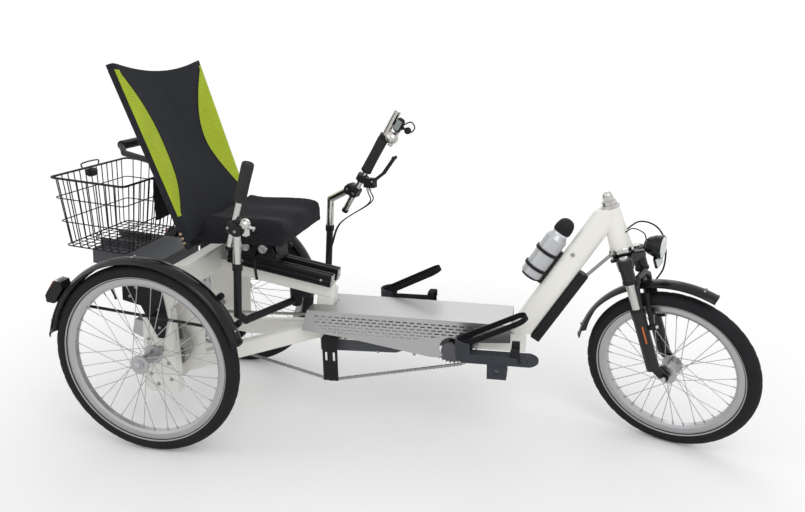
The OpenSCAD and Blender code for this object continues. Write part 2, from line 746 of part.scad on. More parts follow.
module dropout_outline() hull() {
    translate([fork_rake, 0]) circle(13);
    translate([leg_x, 36]) circle(14);
}

// Nut over the head tube
module headset_cap() color(chrome) steered() translate([0, 0, head_top + gap]) difference() {
    union() {
        cylinder(h = 12, r = 21);
        cylinder(h = 26, r = 17, $fn = 6);
        translate([0, 0, 26]) sphere(r = 14);
    }
    translate([0, 0, -1]) cylinder(h = 19.5, r = steerer_r + gap);
}

// Mudguard of the front wheel, held under the fork's arch
module front_mudguard() color(black) steered() {
    translate([fork_rake, 0, 0]) guard(front_guard_r, guard_w - 2, 49, 152);
    translate([leg_x + 14, -14, front_guard_r - 1]) cube([8, 28, 19 - 9 - gap + 1]);
}

// Lamp on a bracket that lies on the crown, round the lower bearing
module headlamp() color(black) steered() {
    translate(lamp_mid) rotate([0, 90 + head_lean, 0]) rotate_extrude()
        polygon([[0, -16], [14, -14], [24, -4], [31, 14], [33, 32], [31, 34], [0, 34]]);
    translate([0, 0, crown_low + crown_t + gap]) linear_extrude(4) difference() {
        union() {
            circle(31);
            translate([0, -9]) square([lamp_mid.x, 18]);
        }
        circle(race_r + gap);
    }
}

// Brake arms ahead of the fork's legs
module front_brake() color(black) steered() for (s = [-1, 1]) {
    x = leg_x + lower_r + 9;
    bent_rod([[x, s * (leg_y - 8), 160], [x, s * (leg_y - 14), 215], [x + 2, s * 30, 258]], 7);
    rod([leg_x + lower_r + gap, s * (leg_y - 8), 160], [x + 10, s * (leg_y - 8), 160], 9);
    rod([x, s * (leg_y - 13), 200], [x - 4, s * (rim_w / 2 + 5), 196], 6);
}

// Rod from the channel to the fork's arm
module tie_rod() color(silver) {
    rod(rod_mouth - rod_way * rod_tail, rod_eye, tie_r);
    translate(rod_eye) sphere(r = rod_ball_r);
}

// Tyre and spoked wheel about their own axle
module tyre(r) color(black) {
    bead = [r - tyre_w + rim_lip + gap, rim_w / 2 + gap];
    wall = [for (a = tyre_turns) [r - tyre_w / 2 * (1 - cos(a)), tyre_w / 2 * sin(a)]];
    turned() polygon([[bead.x, -bead.y], each wall, bead]);
}
module wheel(seat_r, hub_w, bore_r) color(silver) difference() {
    rim_in = seat_r + rim_lip - rim_depth;
    union() {
        turned() polygon([[seat_r + rim_lip, -rim_w / 2], [seat_r + rim_lip, rim_w / 2],
            [rim_in + 8, rim_w / 2], [rim_in, rim_w / 3], [rim_in, -rim_w / 3], [rim_in + 8, -rim_w / 2]]);
        across(-hub_w, 2 * hub_w, 17);
        for (y = [-hub_w + 2, hub_w - 6]) across(y, 4, flange_r);
        for (i = [0 : spokes - 1]) rod(spoke_foot(i, hub_w - 4), spoke_head(i, rim_in + 1), spoke_r);
    }
    across(-100, 200, bore_r);
}
// Spokes alternate sides, lean ahead and back in turn, and lie on both faces of a flange
function spoke_side(i) = i % 2 == 0 ? 1 : -1;
function spoke_lead(i) = floor(i / 2) % 2 == 0 ? 1 : -1;
function spoke_turn(i, lead) = i * 360 / spokes + lead * spoke_lead(i);
function spoke_foot(i, y) = let (a = spoke_turn(i, 56))
    [(flange_r - 4) * cos(a), spoke_side(i) * (y + 2.6 * spoke_lead(i)), (flange_r - 4) * sin(a)];
function spoke_head(i, r) = let (a = spoke_turn(i, 0)) [r * cos(a), spoke_side(i) * 3, r * sin(a)];

module front_tyre() steered() translate([fork_rake, 0, 0]) tyre(front_r);
module front_wheel() steered() translate([fork_rake, 0, 0])
    wheel(front_seat_r, front_hub_w, front_axle_r + gap);
module rear_tyre_right() translate([0, -track / 2, rear_r]) tyre(rear_r);
module rear_tyre_left() left() rear_tyre_right();
module rear_wheel_right() translate([0, -track / 2, rear_r]) wheel(rear_seat_r, rear_hub_w, 6);
module rear_wheel_left() left() rear_wheel_right();

// Half shaft from the differential to the hub, with the brake disc
module half_shaft_right() color(silver) translate([0, 0, rear_r]) {
    across(8, track / 2 - rear_hub_w - gap - 8, stub_r);
    across(disc_y - 5, 12, 22);
    upright_sheet(disc_y, 2) difference() {
        circle(disc_r);
        for (i = [0 : 4]) rotate(i * 72) translate([44, 0]) circle(16);
        for (i = [0 : 23]) rotate(i * 15) translate([disc_r - 9, 0]) circle(3);
    }
}
module half_shaft_left() left() half_shaft_right();

// Steering bar: a wide U with a post and a handle tube on each side
module handlebar() color(black) bar_frame() difference() {
    union() {
        translate([0, 0, -hub_h / 2]) cylinder(h = hub_h, r = 20);
        for (h = handles) {
            s = h[0];
            bent_rod([[0, s * (bar_pin_r + 6), 0], [-26, s * (bar_y - 26), 4], [-34, s * bar_y, 30],
                [-12, s * bar_y, 286], [h[1], s * bar_y, h[2]]], bar_r);
            translate([h[1], s * bar_y, h[2]]) rotate([90, 0, 0]) cylinder(h = 44, r = 17, center = true);
            foot = [h[3], s * bar_y, h[4]];
            head = [h[5], s * bar_y, h[6]];
            seat = head - (head - foot) / norm(head - foot) * handle_seat;
            rod(foot, seat + (head - foot) / norm(head - foot), handle_r);
            if (s > 0) rod(seat, head, handle_seat_r);
            else rod(seat, head, handle_r - bend_shade);
        }
    }
    cylinder(h = 200, r = bar_pin_r + gap, center = true);
}

// Foam grips on the handle tubes
module grips() color(black) bar_frame() for (h = handles) {
    foot = [h[3], h[0] * bar_y, h[4]];
    way = ([h[5], h[0] * bar_y, h[6]] - foot) / norm([h[5], h[0] * bar_y, h[6]] - foot);
    difference() {
        rod(foot + way * h[7], foot + way * h[8], 18);
        rod(foot, foot + way * (h[8] + 100), handle_r + gap);
    }
}

// Clamp body and two brake levers on the left handle
module hand_controls() color(black) bar_frame() {
    h = handles[1];
    foot = [h[3], bar_y, h[4]];
    way = ([h[5], bar_y, h[6]] - foot) / norm([h[5], bar_y, h[6]] - foot);
    difference() {
        union() {
            rod(foot + way * 128, foot + way * 150, 20);
            translate(foot + way * 138 + [10, -12, -30]) cube([40, 24, 32]);
        }
        rod(foot, foot + way * 400, handle_r + gap);
    }
    for (y = [-9, 9]) bent_rod([foot + way * 140 + [44, y, -8], foot + way * 170 + [66, y, -6],
        foot + way * 240 + [70, y, -12]], 4);
}

// Crank arms, chainring and axle
function pedal_at(s) = [crank_x - s * crank_len * cos(crank_drop), s * (crank_y + crank_t),
    crank_z + s * crank_len * sin(crank_drop)];
module crankset() color(grey) {
    translate([crank_x, 0, crank_z]) {
        across(-crank_y - crank_t / 2, 2 * crank_y + crank_t, axle_r);
        upright_sheet(chain_y - 1.5, 3) toothed(ring_r, ring_teeth, 5, 42, 13);
    }
    for (s = [-1, 1]) {
        translate([crank_x, 0, crank_z]) rotate([0, s < 0 ? crank_drop : 180 + crank_drop, 0])
            translate([0, s < 0 ? -crank_y : crank_y + crank_t, 0])
            rotate([90, 0, 0]) linear_extrude(crank_t) {
                stadium(crank_len, 14);
                circle(26);
            }
        translate(pedal_at(s)) across(s < 0 ? -crank_t / 2 : -foot_w, foot_w + crank_t / 2, pedal_r);
    }
}

// Foot plate about its pedal axle, with a heel cup and a side wall
module foot_shape() difference() {
    union() {
        translate([-28, -foot_w, -24]) cube([56, foot_w - 6, 24 + foot_up]);
        translate([0, 0, foot_up]) linear_extrude(7) foot_outline(0);
        translate([0, 0, foot_up]) linear_extrude(60) difference() {
            foot_outline(0);
            foot_outline(4);
            translate([-78, -200]) square([400, 400]);
        }
        translate([-90, -foot_w - 6, foot_up]) cube([150, 4, 26]);
    }
    across(-50, 200, pedal_r + gap);
}
module foot_outline(inset) translate([0, -foot_w / 2 - 3]) {
    translate([heel_x, 0]) circle(heel_r - inset);
    translate([heel_x, -heel_r + inset]) square([150, 2 * heel_r - 2 * inset]);
    translate([68, 0]) intersection() {
        circle(50 - inset);
        translate([0, -heel_r + inset]) square([60, 2 * heel_r - 2 * inset]);
    }
}
module strap_shape() {
    translate([heel_x, -foot_w / 2 - 3, foot_up + 51]) rotate([0, -26, 0]) linear_extrude(16) difference() {
        stadium(150, heel_r - 8);
        stadium(150, heel_r - 11);
    }
    translate([40, -foot_w / 2 - 3, foot_up + 7 + gap]) rotate([90, 0, 90]) linear_extrude(22) difference() {
        round_rect(77, 96, 30);
        round_rect(71, 90, 27);
        translate([-100, -200]) square([200, 200]);
    }
}
module right_foot() translate(pedal_at(-1)) translate([0, -4, 0]) children();
module left_foot() translate(pedal_at(1)) translate([0, 4, 0]) left() children();
module foot_plate_right() color(grey) right_foot() foot_shape();
module foot_plate_left() color(grey) left_foot() foot_shape();
module foot_straps_right() color(black) right_foot() strap_shape();
module foot_straps_left() color(black) left_foot() strap_shape();

placed() front_frame();
placed() main_beam();
placed() seat_mast();
placed() cross_beam();
placed() axle_plate_right();
placed() axle_plate_left();
placed() side_plate_right();
placed() side_plate_left();
placed() rear_deck();
placed() basket();
placed() rear_mudguard_right();
placed() rear_mudguard_left();
placed() tail_light_right();
placed() tail_light_left();
placed() caliper_right();
placed() caliper_left();
placed() seat_rail();
placed() seat_carriage();
placed() seat_cushion();
placed() back_frame();
placed() back_fabric();
placed() deck_cover();
placed() beam_guard();
placed() chain_tensioner();
placed() chain();
placed() axle_drive();
placed() bottle();
placed() bottle_cage();
placed() rod_channel();
placed() bar_bracket();
placed() fork();
placed() headset_cap();
placed() front_mudguard();
placed() headlamp();
placed() front_brake();
placed() tie_rod();
placed() front_tyre();
placed() front_wheel();
placed() rear_tyre_right();
placed() rear_tyre_left();
placed() rear_wheel_right();
placed() rear_wheel_left();
placed() half_shaft_right();
placed() half_shaft_left();
placed() handlebar();
placed() grips();
placed() hand_controls();
placed() crankset();
placed() foot_plate_right();
placed() foot_plate_left();
placed() foot_straps_right();
placed() foot_straps_left();
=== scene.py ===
import json
import math

import bmesh
import bpy
from mathutils import Matrix, Vector


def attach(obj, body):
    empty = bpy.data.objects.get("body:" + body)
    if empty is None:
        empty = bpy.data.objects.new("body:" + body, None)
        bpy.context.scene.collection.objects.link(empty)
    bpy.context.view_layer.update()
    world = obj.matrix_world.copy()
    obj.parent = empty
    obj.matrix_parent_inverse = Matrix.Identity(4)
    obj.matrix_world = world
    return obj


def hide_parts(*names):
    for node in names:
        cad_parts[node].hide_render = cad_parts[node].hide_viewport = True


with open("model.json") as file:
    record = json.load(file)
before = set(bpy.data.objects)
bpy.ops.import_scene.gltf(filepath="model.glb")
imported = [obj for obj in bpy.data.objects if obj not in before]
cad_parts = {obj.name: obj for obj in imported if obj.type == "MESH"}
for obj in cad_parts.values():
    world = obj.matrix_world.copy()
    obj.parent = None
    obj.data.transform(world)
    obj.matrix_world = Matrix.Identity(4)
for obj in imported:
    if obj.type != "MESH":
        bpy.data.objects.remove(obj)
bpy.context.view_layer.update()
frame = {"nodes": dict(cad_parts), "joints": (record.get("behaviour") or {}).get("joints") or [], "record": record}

# Places, in millimetres from the ground under the rear axle's middle
MM = 0.001
JOINTS = {j["name"]: j for j in frame["joints"]}
X_MID = -JOINTS["rear_drive_turn"]["pos_m"][0] / MM
NODES = frame["nodes"]


def at(x, y, z):
    """A point of the part, from millimetres ahead of the rear axle, to the left and above the ground."""
    return Vector(((x - X_MID) * MM, y * MM, z * MM))


def local_frame(origin, *turns):
    """A frame in millimetres at an origin, turned about Y or Z in the order given."""
    m = Matrix.Translation(at(*origin))
    for angle, axis in turns:
        m = m @ Matrix.Rotation(math.radians(angle), 4, axis)
    return m @ Matrix.Scale(MM, 4)


HEAD_LEAN = 17.6
REST_STEER = -24
REST_BAR = -14
FORK_RAKE = 46
STEER_FOOT = (1492.15, 0, 235.40)
FORK = local_frame(STEER_FOOT, (-HEAD_LEAN, "Y"), (REST_STEER, "Z"))
HEAD = local_frame(STEER_FOOT, (-HEAD_LEAN, "Y"))
BAR = local_frame((360, 0, 396), (REST_BAR, "Z"))
DECK = local_frame((-40, 0, 549), (6, "Y"))
SEAT = local_frame((496, 0, 478), (11.4, "Y"))
REAR_R, FRONT_R, TYRE_W, TRACK = 300, 250, 46, 682
CRANK_X, CRANK_Z = 885, 296
CHAIN_Y = -40
PITCH = 12.7
VEHICLE = local_frame((0, 0, 0))
BOTTLE_PLACE = local_frame((1115.9, 0, 519.4), (32.31, "Y"))
FRONT_WHEEL = FORK @ Matrix.Translation((FORK_RAKE, 0, 0))


def wheel_frame(side):
    """The frame of a rear wheel, at its hub; side is -1 on the right and 1 on the left."""
    return local_frame((0, side * TRACK / 2, REAR_R))


# Materials
def nodes_of(mat):
    mat.use_nodes = True
    return mat.node_tree.nodes, mat.node_tree.links


def surface(name, color, rough, metal=0.0, vary=0.12, grain=90.0, bump=0.15, depth=0.0004, stretch=(1, 1, 1),
            coat=0.0, sheen=0.0, rough_vary=0.08, spec=0.5):
    """A surface whose colour and gloss vary softly and whose fine grain stands up as bump."""
    mat = bpy.data.materials.new(name)
    n, links = nodes_of(mat)
    shader = n["Principled BSDF"]
    shader.inputs["Metallic"].default_value = metal
    shader.inputs["Coat Weight"].default_value = coat
    shader.inputs["Sheen Weight"].default_value = sheen
    shader.inputs["Specular IOR Level"].default_value = spec
    coords = n.new("ShaderNodeTexCoord")
    scale = n.new("ShaderNodeMapping")
    scale.inputs["Scale"].default_value = stretch
    links.new(coords.outputs["Object"], scale.inputs["Vector"])
    broad = n.new("ShaderNodeTexNoise")
    broad.inputs["Scale"].default_value = 14
    broad.inputs["Detail"].default_value = 5
    links.new(coords.outputs["Object"], broad.inputs["Vector"])
    tint = n.new("ShaderNodeMix")
    tint.data_type = "RGBA"
    tint.inputs[6].default_value = (*[c * (1 - vary) for c in color], 1)
    tint.inputs[7].default_value = (*[min(1, c * (1 + vary)) for c in color], 1)
    links.new(broad.outputs["Fac"], tint.inputs["Factor"])
    links.new(tint.outputs[2], shader.inputs["Base Color"])
    fine = n.new("ShaderNodeTexNoise")
    fine.inputs["Scale"].default_value = grain
    fine.inputs["Detail"].default_value = 6
    links.new(scale.outputs["Vector"], fine.inputs["Vector"])
    gloss = n.new("ShaderNodeMapRange")
    gloss.inputs["To Min"].default_value = max(0.02, rough - rough_vary)
    gloss.inputs["To Max"].default_value = min(1, rough + rough_vary)
    links.new(fine.outputs["Fac"], gloss.inputs["Value"])
    links.new(gloss.outputs["Result"], shader.inputs["Roughness"])
    relief = n.new("ShaderNodeBump")
    relief.inputs["Strength"].default_value = bump
    relief.inputs["Distance"].default_value = depth
    links.new(fine.outputs["Fac"], relief.inputs["Height"])
    links.new(relief.outputs["Normal"], shader.inputs["Normal"])
    return mat


def weave(name, color, pitch, depth=0.0005, contrast=0.45, rough=0.85, sheen=0.02):
    """Cloth: two crossing sets of threads, dark between them."""
    mat = surface(name, color, rough, vary=0.18, grain=600, bump=0.2, sheen=sheen, spec=0.12)
    n, links = nodes_of(mat)
    shader = n["Principled BSDF"]
    coords = n.new("ShaderNodeTexCoord")
    threads = []
    for direction in ("Y", "Z"):
        w = n.new("ShaderNodeTexWave")
        w.wave_type = "BANDS"
        w.bands_direction = direction
        w.inputs["Scale"].default_value = 0.314 / pitch
        w.inputs["Distortion"].default_value = 0.3
        links.new(coords.outputs["Object"], w.inputs["Vector"])
        threads.append(w)
    cross = n.new("ShaderNodeMath")
    cross.operation = "MULTIPLY"
    links.new(threads[0].outputs["Fac"], cross.inputs[0])
    links.new(threads[1].outputs["Fac"], cross.inputs[1])
    old = shader.inputs["Base Color"].links[0].from_socket
    shade = n.new("ShaderNodeMix")
    shade.data_type = "RGBA"
    shade.blend_type = "MULTIPLY"
    shade.inputs["Factor"].default_value = contrast
    links.new(old, shade.inputs[6])
    links.new(cross.outputs["Value"], shade.inputs[7])
    links.new(shade.outputs[2], shader.inputs["Base Color"])
    relief = n.new("ShaderNodeBump")
    relief.inputs["Strength"].default_value = 0.5
    relief.inputs["Distance"].default_value = depth
    links.new(cross.outputs["Value"], relief.inputs["Height"])
    links.new(relief.outputs["Normal"], shader.inputs["Normal"])
    return mat


WHITE = surface("frame_white", (0.86, 0.85, 0.80), 0.32, vary=0.03, grain=220, bump=0.04, coat=0.25)
SATIN_BLACK = surface("satin_black", (0.012, 0.012, 0.014), 0.45, vary=0.2, grain=400, bump=0.12, spec=0.22)
GLOSS_BLACK = surface("gloss_black", (0.008, 0.008, 0.009), 0.16, vary=0.2,
                      grain=60, bump=0.02, coat=0.05, spec=0.25)
DECK_GREY = surface("deck_grey", (0.075, 0.08, 0.09), 0.5, vary=0.12, grain=500, bump=0.25, spec=0.3)
BARE_METAL = surface("bare_metal", (0.46, 0.46, 0.47), 0.34, metal=1, vary=0.08, grain=300, bump=0.08)
PLASTIC = surface("black_plastic", (0.013, 0.013, 0.015), 0.5, vary=0.2, grain=700, bump=0.3, spec=0.2)
STEEL = surface("steel", (0.34, 0.335, 0.33), 0.32, metal=1, vary=0.15, grain=250, bump=0.1)
BOTTLE = surface("bottle_silver", (0.52, 0.53, 0.55), 0.38, metal=0.5, vary=0.04,
                 grain=120, bump=0.01, coat=0.2, rough_vary=0.03)
CHROME = surface("chrome", (0.58, 0.57, 0.55), 0.12, metal=1, vary=0.05,
                 grain=80, bump=0.01, rough_vary=0.03)
RUBBER = surface("tyre_rubber", (0.014, 0.014, 0.016), 0.72, vary=0.25, grain=420, bump=0.3, spec=0.18)
FOAM = surface("foam", (0.040, 0.039, 0.038), 0.9, vary=0.3, grain=900, bump=0.7, depth=0.0006, spec=0.1)
FOOT_GREY = surface("foot_grey", (0.034, 0.038, 0.046), 0.55, vary=0.15, grain=600, bump=0.3, spec=0.25)
CRANK_GREY = surface("crank_grey", (0.11, 0.11, 0.12), 0.38, metal=0.8, vary=0.12, grain=260, bump=0.1)
COVER = surface("cover_metal", (0.46, 0.46, 0.46), 0.38, metal=1, vary=0.05,
                grain=60, bump=0.1, stretch=(1, 30, 30))
LAMP_RED = surface("lamp_red", (0.42, 0.015, 0.015), 0.15, vary=0.15, grain=200, bump=0.1, coat=0.3)
FORK_BLACK = surface("fork_black", (0.010, 0.010, 0.012), 0.28, vary=0.2,
                     grain=200, bump=0.04, coat=0.1, spec=0.35)
CUSHION_CLOTH = weave("cushion_cloth", (0.024, 0.025, 0.030), 0.0016)
BACK_CLOTH = weave("back_cloth", (0.030, 0.032, 0.039), 0.0020)
LIME_MESH = weave("lime_mesh", (0.62, 0.78, 0.05), 0.0055, depth=0.0014, contrast=0.5, rough=0.75)
STRIPE = surface("tyre_stripe", (0.36, 0.36, 0.35), 0.55, vary=0.15, grain=400, bump=0.1)
STRAP = weave("strap_black", (0.016, 0.016, 0.018), 0.0012)
LENS = surface("lamp_lens", (0.70, 0.73, 0.75), 0.06, metal=0.35, vary=0.1, grain=700, bump=0.3, coat=1.0)
AMBER = surface("fork_stripe", (0.62, 0.12, 0.015), 0.45, vary=0.08, grain=300, bump=0.05)
BRASS = surface("brass", (0.55, 0.40, 0.23), 0.35, metal=1, vary=0.1, grain=300, bump=0.1)
SCREEN = surface("screen_grey", (0.26, 0.29, 0.28), 0.12, vary=0.1, grain=500, bump=0.03, coat=0.4)

FINISH = {
    "frame_white": WHITE, "satin_black": SATIN_BLACK, "gloss_black": GLOSS_BLACK, "deck_grey": DECK_GREY,
    "lamp_red": LAMP_RED, "bare_metal": BARE_METAL, "black_plastic": PLASTIC, "cushion_cloth": CUSHION_CLOTH,
    "back_cloth": BACK_CLOTH, "cover_metal": COVER, "steel": STEEL, "bottle_silver": BOTTLE,
    "fork_black": FORK_BLACK, "chrome": CHROME, "lamp_black": GLOSS_BLACK, "tyre_rubber": RUBBER,
    "foam": FOAM, "crank_grey": CRANK_GREY, "foot_grey": FOOT_GREY, "strap_black": STRAP,
}
for part in frame["record"]["subparts"]:
    mesh = NODES[part["node"]].data
    mesh.materials.clear()
    mesh.materials.append(FINISH[part["material_slot"]])


# Shapes
class Shape:
    """Gathers the faces of many small forms, in a frame of millimetres, into one mesh."""

    def __init__(self, place=VEHICLE):
        self.place, self.verts, self.faces, self.kinds = place, [], [], []

    def grid(self, rows, closed=True, caps=False, kind=0):
        """Quads between rows of points, rings where closed, with flat caps or caps of quad strips."""
        start, size = len(self.verts), len(rows[0])
        for row in rows:
            self.verts += [tuple(self.place @ Vector(q)) for q in row]
        span = size if closed else size - 1
        for i in range(len(rows) - 1):
            for j in range(span):
                a, b = start + i * size + j, start + i * size + (j + 1) % size
                self.faces.append((a, b, b + size, a + size))
                self.kinds.append(kind(i, j) if callable(kind) else kind)
        end = start + (len(rows) - 1) * size
        if caps == "strip":
            for first in (start, end):
                self.faces += [(first + j, first + j + 1, first + size - 2 - j, first + size - 1 - j)
                               for j in range(size // 2 - 1)]
                self.kinds += [0] * (size // 2 - 1)
        elif caps:
            self.faces.append(tuple(range(start + size - 1, start - 1, -1)))
            self.faces.append(tuple(range(end, end + size)))
            self.kinds += [kind(0, 0) if callable(kind) else kind] * 2

    def tube(self, path, radius, sides=12, kind=0):
        """A round bar along a path, its ring carried along without twist; radius may be a list."""
        path = [Vector(q) for q in path]
        last = len(path) - 1
        ways = [(path[min(i + 1, last)] - path[max(i - 1, 0)]).normalized() for i in range(last + 1)]
        side = ways[0].orthogonal().normalized()
        rows = []
        for i, (q, way) in enumerate(zip(path, ways)):
            side = (side - way * side.dot(way)).normalized()
            up = way.cross(side)
            r = radius[i] if isinstance(radius, (list, tuple)) else radius
            turns = [2 * math.pi * k / sides for k in range(sides)]
            rows.append([q + (side * math.cos(t) + up * math.sin(t)) * r for t in turns])
        self.grid(rows, caps=True, kind=kind)

    def lathe(self, profile, origin, axis, sides=32, kind=0):
        """A profile of (radius, height) turned about an axis from an origin."""
        axis = Vector(axis).normalized()
        side = axis.orthogonal().normalized()
        up = axis.cross(side)
        turns = [2 * math.pi * k / sides for k in range(sides)]
        ring = [side * math.cos(t) + up * math.sin(t) for t in turns]
        rows = [[Vector(origin) + axis * h + q * max(r, 0.02) for q in ring] for r, h in profile]
        self.grid(rows, caps=True, kind=kind)

    def block(self, low, high, soft=2.0, kind=0, turn=None):
        """A box with chamfered edges; turn is a rotation about its middle."""
        low, high = Vector(low), Vector(high)
        mid, half = (low + high) / 2, (high - low) / 2
        soft = min(soft, *[c * 0.9 for c in half])
        rows = []
        for z, inset in ((-half.z, soft), (-half.z + soft, 0), (half.z - soft, 0), (half.z, soft)):
            x, y = half.x - inset, half.y - inset
            ring = [(x, y - soft), (x - soft, y), (-x + soft, y), (-x, y - soft),
                    (-x, -y + soft), (-x + soft, -y), (x - soft, -y), (x, -y + soft)]
            rows.append([mid + ((turn @ Vector((a, b, z))) if turn else Vector((a, b, z))) for a, b in ring])
        self.grid(rows, caps=True, kind=kind)

    def bolt(self, spot, way, radius=5.0, kind=0):
        """A socket screw's head: a domed disc with a hexagonal recess."""
        dome, socket = ((1, 0), (1, 0.5), (0.8, 0.8), (0.5, 0.8)), ((0.45, 0.81), (0.4, 0.83))
        for profile, sides in ((dome, 18), (socket, 6)):
            self.lathe([(radius * r, radius * h) for r, h in profile], spot, way, sides, kind)

    def piece(self, name, body, slot, *materials, smooth=True, replaces=()):
        """The gathered faces as one object that rides on a body."""
        mesh = bpy.data.meshes.new(name)
        mesh.from_pydata(self.verts, [], self.faces)
        for m in materials:
            mesh.materials.append(m)
        for face, kind in zip(mesh.polygons, self.kinds):
            face.material_index = kind
            face.use_smooth = smooth
        mesh.validate()
        shape = bmesh.new()
        shape.from_mesh(mesh)
        bmesh.ops.recalc_face_normals(shape, faces=shape.faces)
        shape.to_mesh(mesh)
        shape.free()
        obj = bpy.data.objects.new(name, mesh)
        bpy.context.scene.collection.objects.link(obj)
        if smooth:
            with bpy.context.temp_override(object=obj, active_object=obj, selected_editable_objects=[obj]):
                bpy.ops.object.shade_smooth_by_angle(angle=math.radians(38))
        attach(obj, body)
        if replaces:
            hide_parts(*replaces)
        return obj


def arc(middle, radius, start, end, steps, plane="xz"):
    """Points of an arc in a plane of the frame, angles in degrees from the plane's first axis."""
    points = []
    for i in range(steps + 1):
        t = math.radians(start + (end - start) * i / steps)
        q = Vector(middle)
        for axis, part in zip(plane, (math.cos(t), math.sin(t))):
            setattr(q, axis, getattr(q, axis) + radius * part)
        points.append(q)
    return points


def bend(points, steps=10):
    """A smooth curve through given points."""
    pts = [Vector(q) for q in points]
    ends = [2 * pts[0] - pts[1], *pts, 2 * pts[-1] - pts[-2]]
    out = []
    for i in range(1, len(ends) - 2):
        a, b, c, d = ends[i - 1:i + 3]
        for k in range(steps):
            t = k / steps
            out.append(0.5 * (2 * b + (c - a) * t + (2 * a - 5 * b + 4 * c - d) * t * t
                              + (3 * b - a - 3 * c + d) * t ** 3))
    return out + [pts[-1]]


# Soft goods
def blow_up(obj, voxel, pressure, cap):
    """Swells a pad by a short cloth run under pressure, each point held within cap of where it was."""
    bpy.context.view_layer.objects.active = obj
    obj.data.remesh_voxel_size = voxel
    with bpy.context.temp_override(object=obj, active_object=obj):
        bpy.ops.object.voxel_remesh()
    start = [v.co.copy() for v in obj.data.vertices]
    cloth = obj.modifiers.new("swell", "CLOTH")
    cloth.settings.use_pressure = True
    cloth.settings.uniform_pressure_force = pressure
    cloth.settings.effector_weights.gravity = 0
    scene = bpy.context.scene
    for f in range(1, 21):
        scene.frame_set(f)
    swollen = obj.evaluated_get(bpy.context.evaluated_depsgraph_get())
    moved = [v.co.copy() for v in swollen.data.vertices]
    obj.modifiers.remove(cloth)
    scene.frame_set(1)
    for v, a, b in zip(obj.data.vertices, start, moved):
        step = b - a
        v.co = a + step * min(1, cap / max(step.length, 1e-9))


def cushion():
    """The sculpted seat cushion: two thigh channels, raised flanks and a low nose."""
    length, width, thick, rear, base = 284, 390, 60, 126, 640.5
    under = ((125, 397), 184, base - 16)
    shape = Shape()
    across, along = 40, 28

    def plan(u, v):
        """Outline with round corners: u across, v along, both from -1 to 1."""
        corner = abs(u * v) ** 6
        return rear + length / 2 * (1 + v * (1 - 0.10 * corner)), width / 2 * u * (1 - 0.075 * corner)

    def top(u, v):
        flank = 10 * abs(u) ** 3
        channel = -9 * math.exp(-((abs(u) - 0.42) / 0.24) ** 2) * (0.6 + 0.4 * v)
        back = 12 * max(0, -v) ** 3
        edge = -26 * max(0, (max(abs(u), abs(v)) - 0.82) / 0.18) ** 2.2
        return thick - 6 + flank + channel + back + edge - 10 * max(0, v) ** 3

    rows = []
    for i in range(along + 1):
        v = -1 + 2 * i / along
        ring = []
        for j in range(across + 1):
            u = -1 + 2 * j / across
            x, y = plan(u, v)
            ring.append((x, y, base + top(u, v)))
        x = under[0][0] + (under[0][1] - under[0][0]) * i / along
        ring += [(x, under[1] * (1 - 2 * j / across), under[2]) for j in range(across + 1)]
        rows.append(ring)
    shape.grid(rows, caps="strip")
    obj = shape.piece("cushion", "frame", "cushion_cloth", CUSHION_CLOTH, replaces=("seat_cushion",))
    blow_up(obj, 0.005, 3.0, 0.004)
    for face in obj.data.polygons:
        face.use_smooth = True


BACK_FOOT, BACK_HEAD = (112, 227, 628), (-54, 253, 1140)
BACK_WAY = Vector((0.951, 0, 0.309))
BACK_TUBE_R = 12


def back_spot(u, v, out=0.0):
    """A point of the backrest: u across from -1 to 1, v up from 0 to 1, out in front of the tubes' plane."""
    x = BACK_FOOT[0] + (BACK_HEAD[0] - BACK_FOOT[0]) * v
    z = BACK_FOOT[2] + (BACK_HEAD[2] - BACK_FOOT[2]) * v
    half = BACK_FOOT[1] + (BACK_HEAD[1] - BACK_FOOT[1]) * v
    return Vector((x, u * half, z)) + BACK_WAY * out


